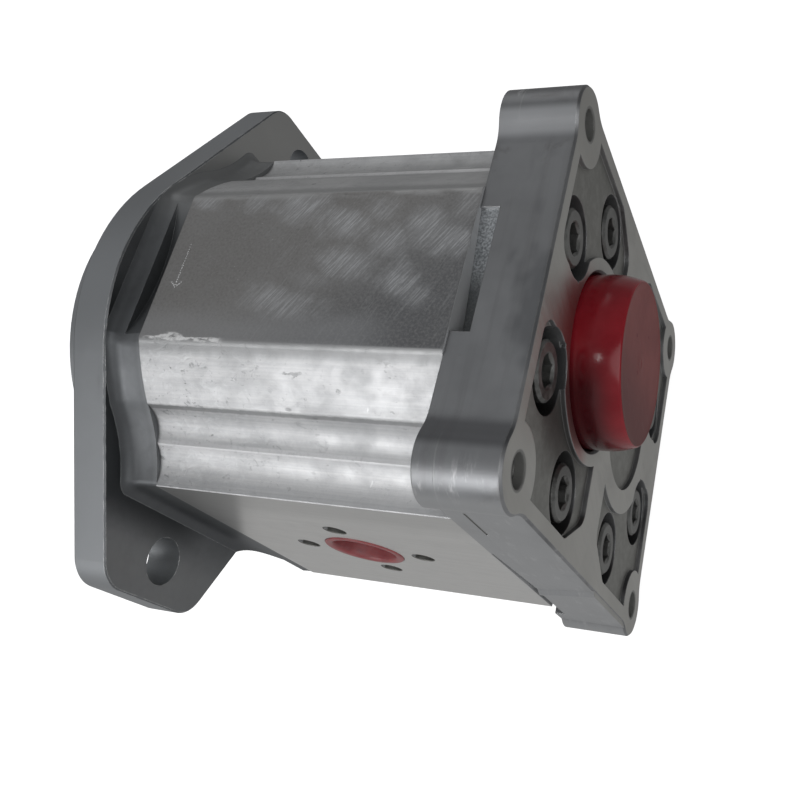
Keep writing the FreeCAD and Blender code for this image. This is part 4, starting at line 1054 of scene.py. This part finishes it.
# ------------------------------------------------------------------ floor
def floor_pale():
    """Pale and self-lit to the camera; a plain glow in the metal's reflections."""
    mat = Material("floor_pale")
    y = mat.add("ShaderNodeNewGeometry", {}, "Position").xyz()[1]
    tone = mat.noise(scale=9.0, rough=0.5).colours(low=grey(0.90), high=grey(0.93))
    matte = mat.add("ShaderNodeBsdfDiffuse", {"Color": tone})
    glow = mat.add("ShaderNodeEmission", {"Color": grey(1.0), "Strength": 0.80})
    # reflections are brighter on the outlet side
    reflected = mat.add("ShaderNodeEmission", {
        "Color": grey(1.0), "Strength": y.ramp(lo=0.30, hi=-0.06, to=(0.20, 0.33))})
    mat.camera_switch(hidden=reflected, seen=mat.add("ShaderNodeAddShader", {0: matte, 1: glow}))
    return mat.data


def build_floor():
    bm = bmesh.new()
    bmesh.ops.create_circle(bm, cap_ends=True, cap_tris=False, segments=96, radius=6.0)
    mesh = bpy.data.meshes.new("floor")
    bm.to_mesh(mesh)
    bm.free()
    floor = bpy.data.objects.new("floor", mesh)
    floor.location = (STAGE_X, 0, CAD_BOX[0].z - 0.0002)
    scene.collection.objects.link(floor)
    mesh.materials.append(floor_pale())


# ------------------------------------------------------------------ studio light
# soft bright patches of sky: direction, tightness, strength
SKY_LOBES = (
    ((-0.46, -0.84, 0.24), 8.0, 0.52), ((-0.60, 0.25, 0.76), 7.0, 0.28),
    ((0.6, -0.7, 0.3), 5.0, 0.20), ((0.2, 0.9, 0.4), 6.0, 0.03),
)
SKY_BASE = 0.10     # strength away from the lobes


def build_world():
    world = bpy.data.worlds.new("studio")
    scene.world = world
    world.use_nodes = True
    sky = Graph(world.node_tree, "ShaderNodeOutputWorld")
    view = sky.add("ShaderNodeTexCoord", {}, "Generated")
    lobes = []
    for direction, tightness, strength in SKY_LOBES:
        facing = sky.vector("DOT_PRODUCT", view, Vector(direction).normalized(), "Value")
        lobes.append(facing.math("MAXIMUM", 0.0).math("POWER", tightness) * strength)
    total = reduce(lambda joined, lobe: joined + lobe, lobes) + SKY_BASE
    light = sky.add("ShaderNodeBackground", {"Color": (0.97, 0.985, 1.0), "Strength": total})
    # seen directly, the studio wall is nearly as pale as the floor
    wall = sky.add("ShaderNodeBackground", {"Color": (0.97, 0.975, 0.98), "Strength": 0.95})
    sky.camera_switch(hidden=light, seen=wall)


def area_light(name, place, size, energy, target=(STAGE_X, 0, 0)):
    """White disk light aimed at a target."""
    data = bpy.data.lights.new(name, "AREA")
    data.shape = "DISK"
    data.size = size
    data.energy = energy
    data.color = (1, 1, 1)
    lamp = bpy.data.objects.new(name, data)
    lamp.location = place
    lamp.rotation_mode = "QUATERNION"
    lamp.rotation_quaternion = (Vector(target) - Vector(place)).to_track_quat("-Z", "Y")
    scene.collection.objects.link(lamp)


build_camera()
build_floor()
build_world()
area_light("key", place=(-0.25, -0.85, 0.62), size=0.55, energy=2.4)
area_light("fill", place=(0.75, -0.35, 0.75), size=0.85, energy=2.0)
area_light("spark", place=(0.144, -0.38, 1.06), size=0.10, energy=0.32,
           target=(0.144, -0.01, 0.02))
area_light("back", place=(-0.2, 0.9, 0.5), size=0.6, energy=0.5)

scene.view_settings.view_transform = "Standard"
scene.view_settings.look = "None"
scene.view_settings.exposure = 0.0
scene.view_settings.gamma = 1.0
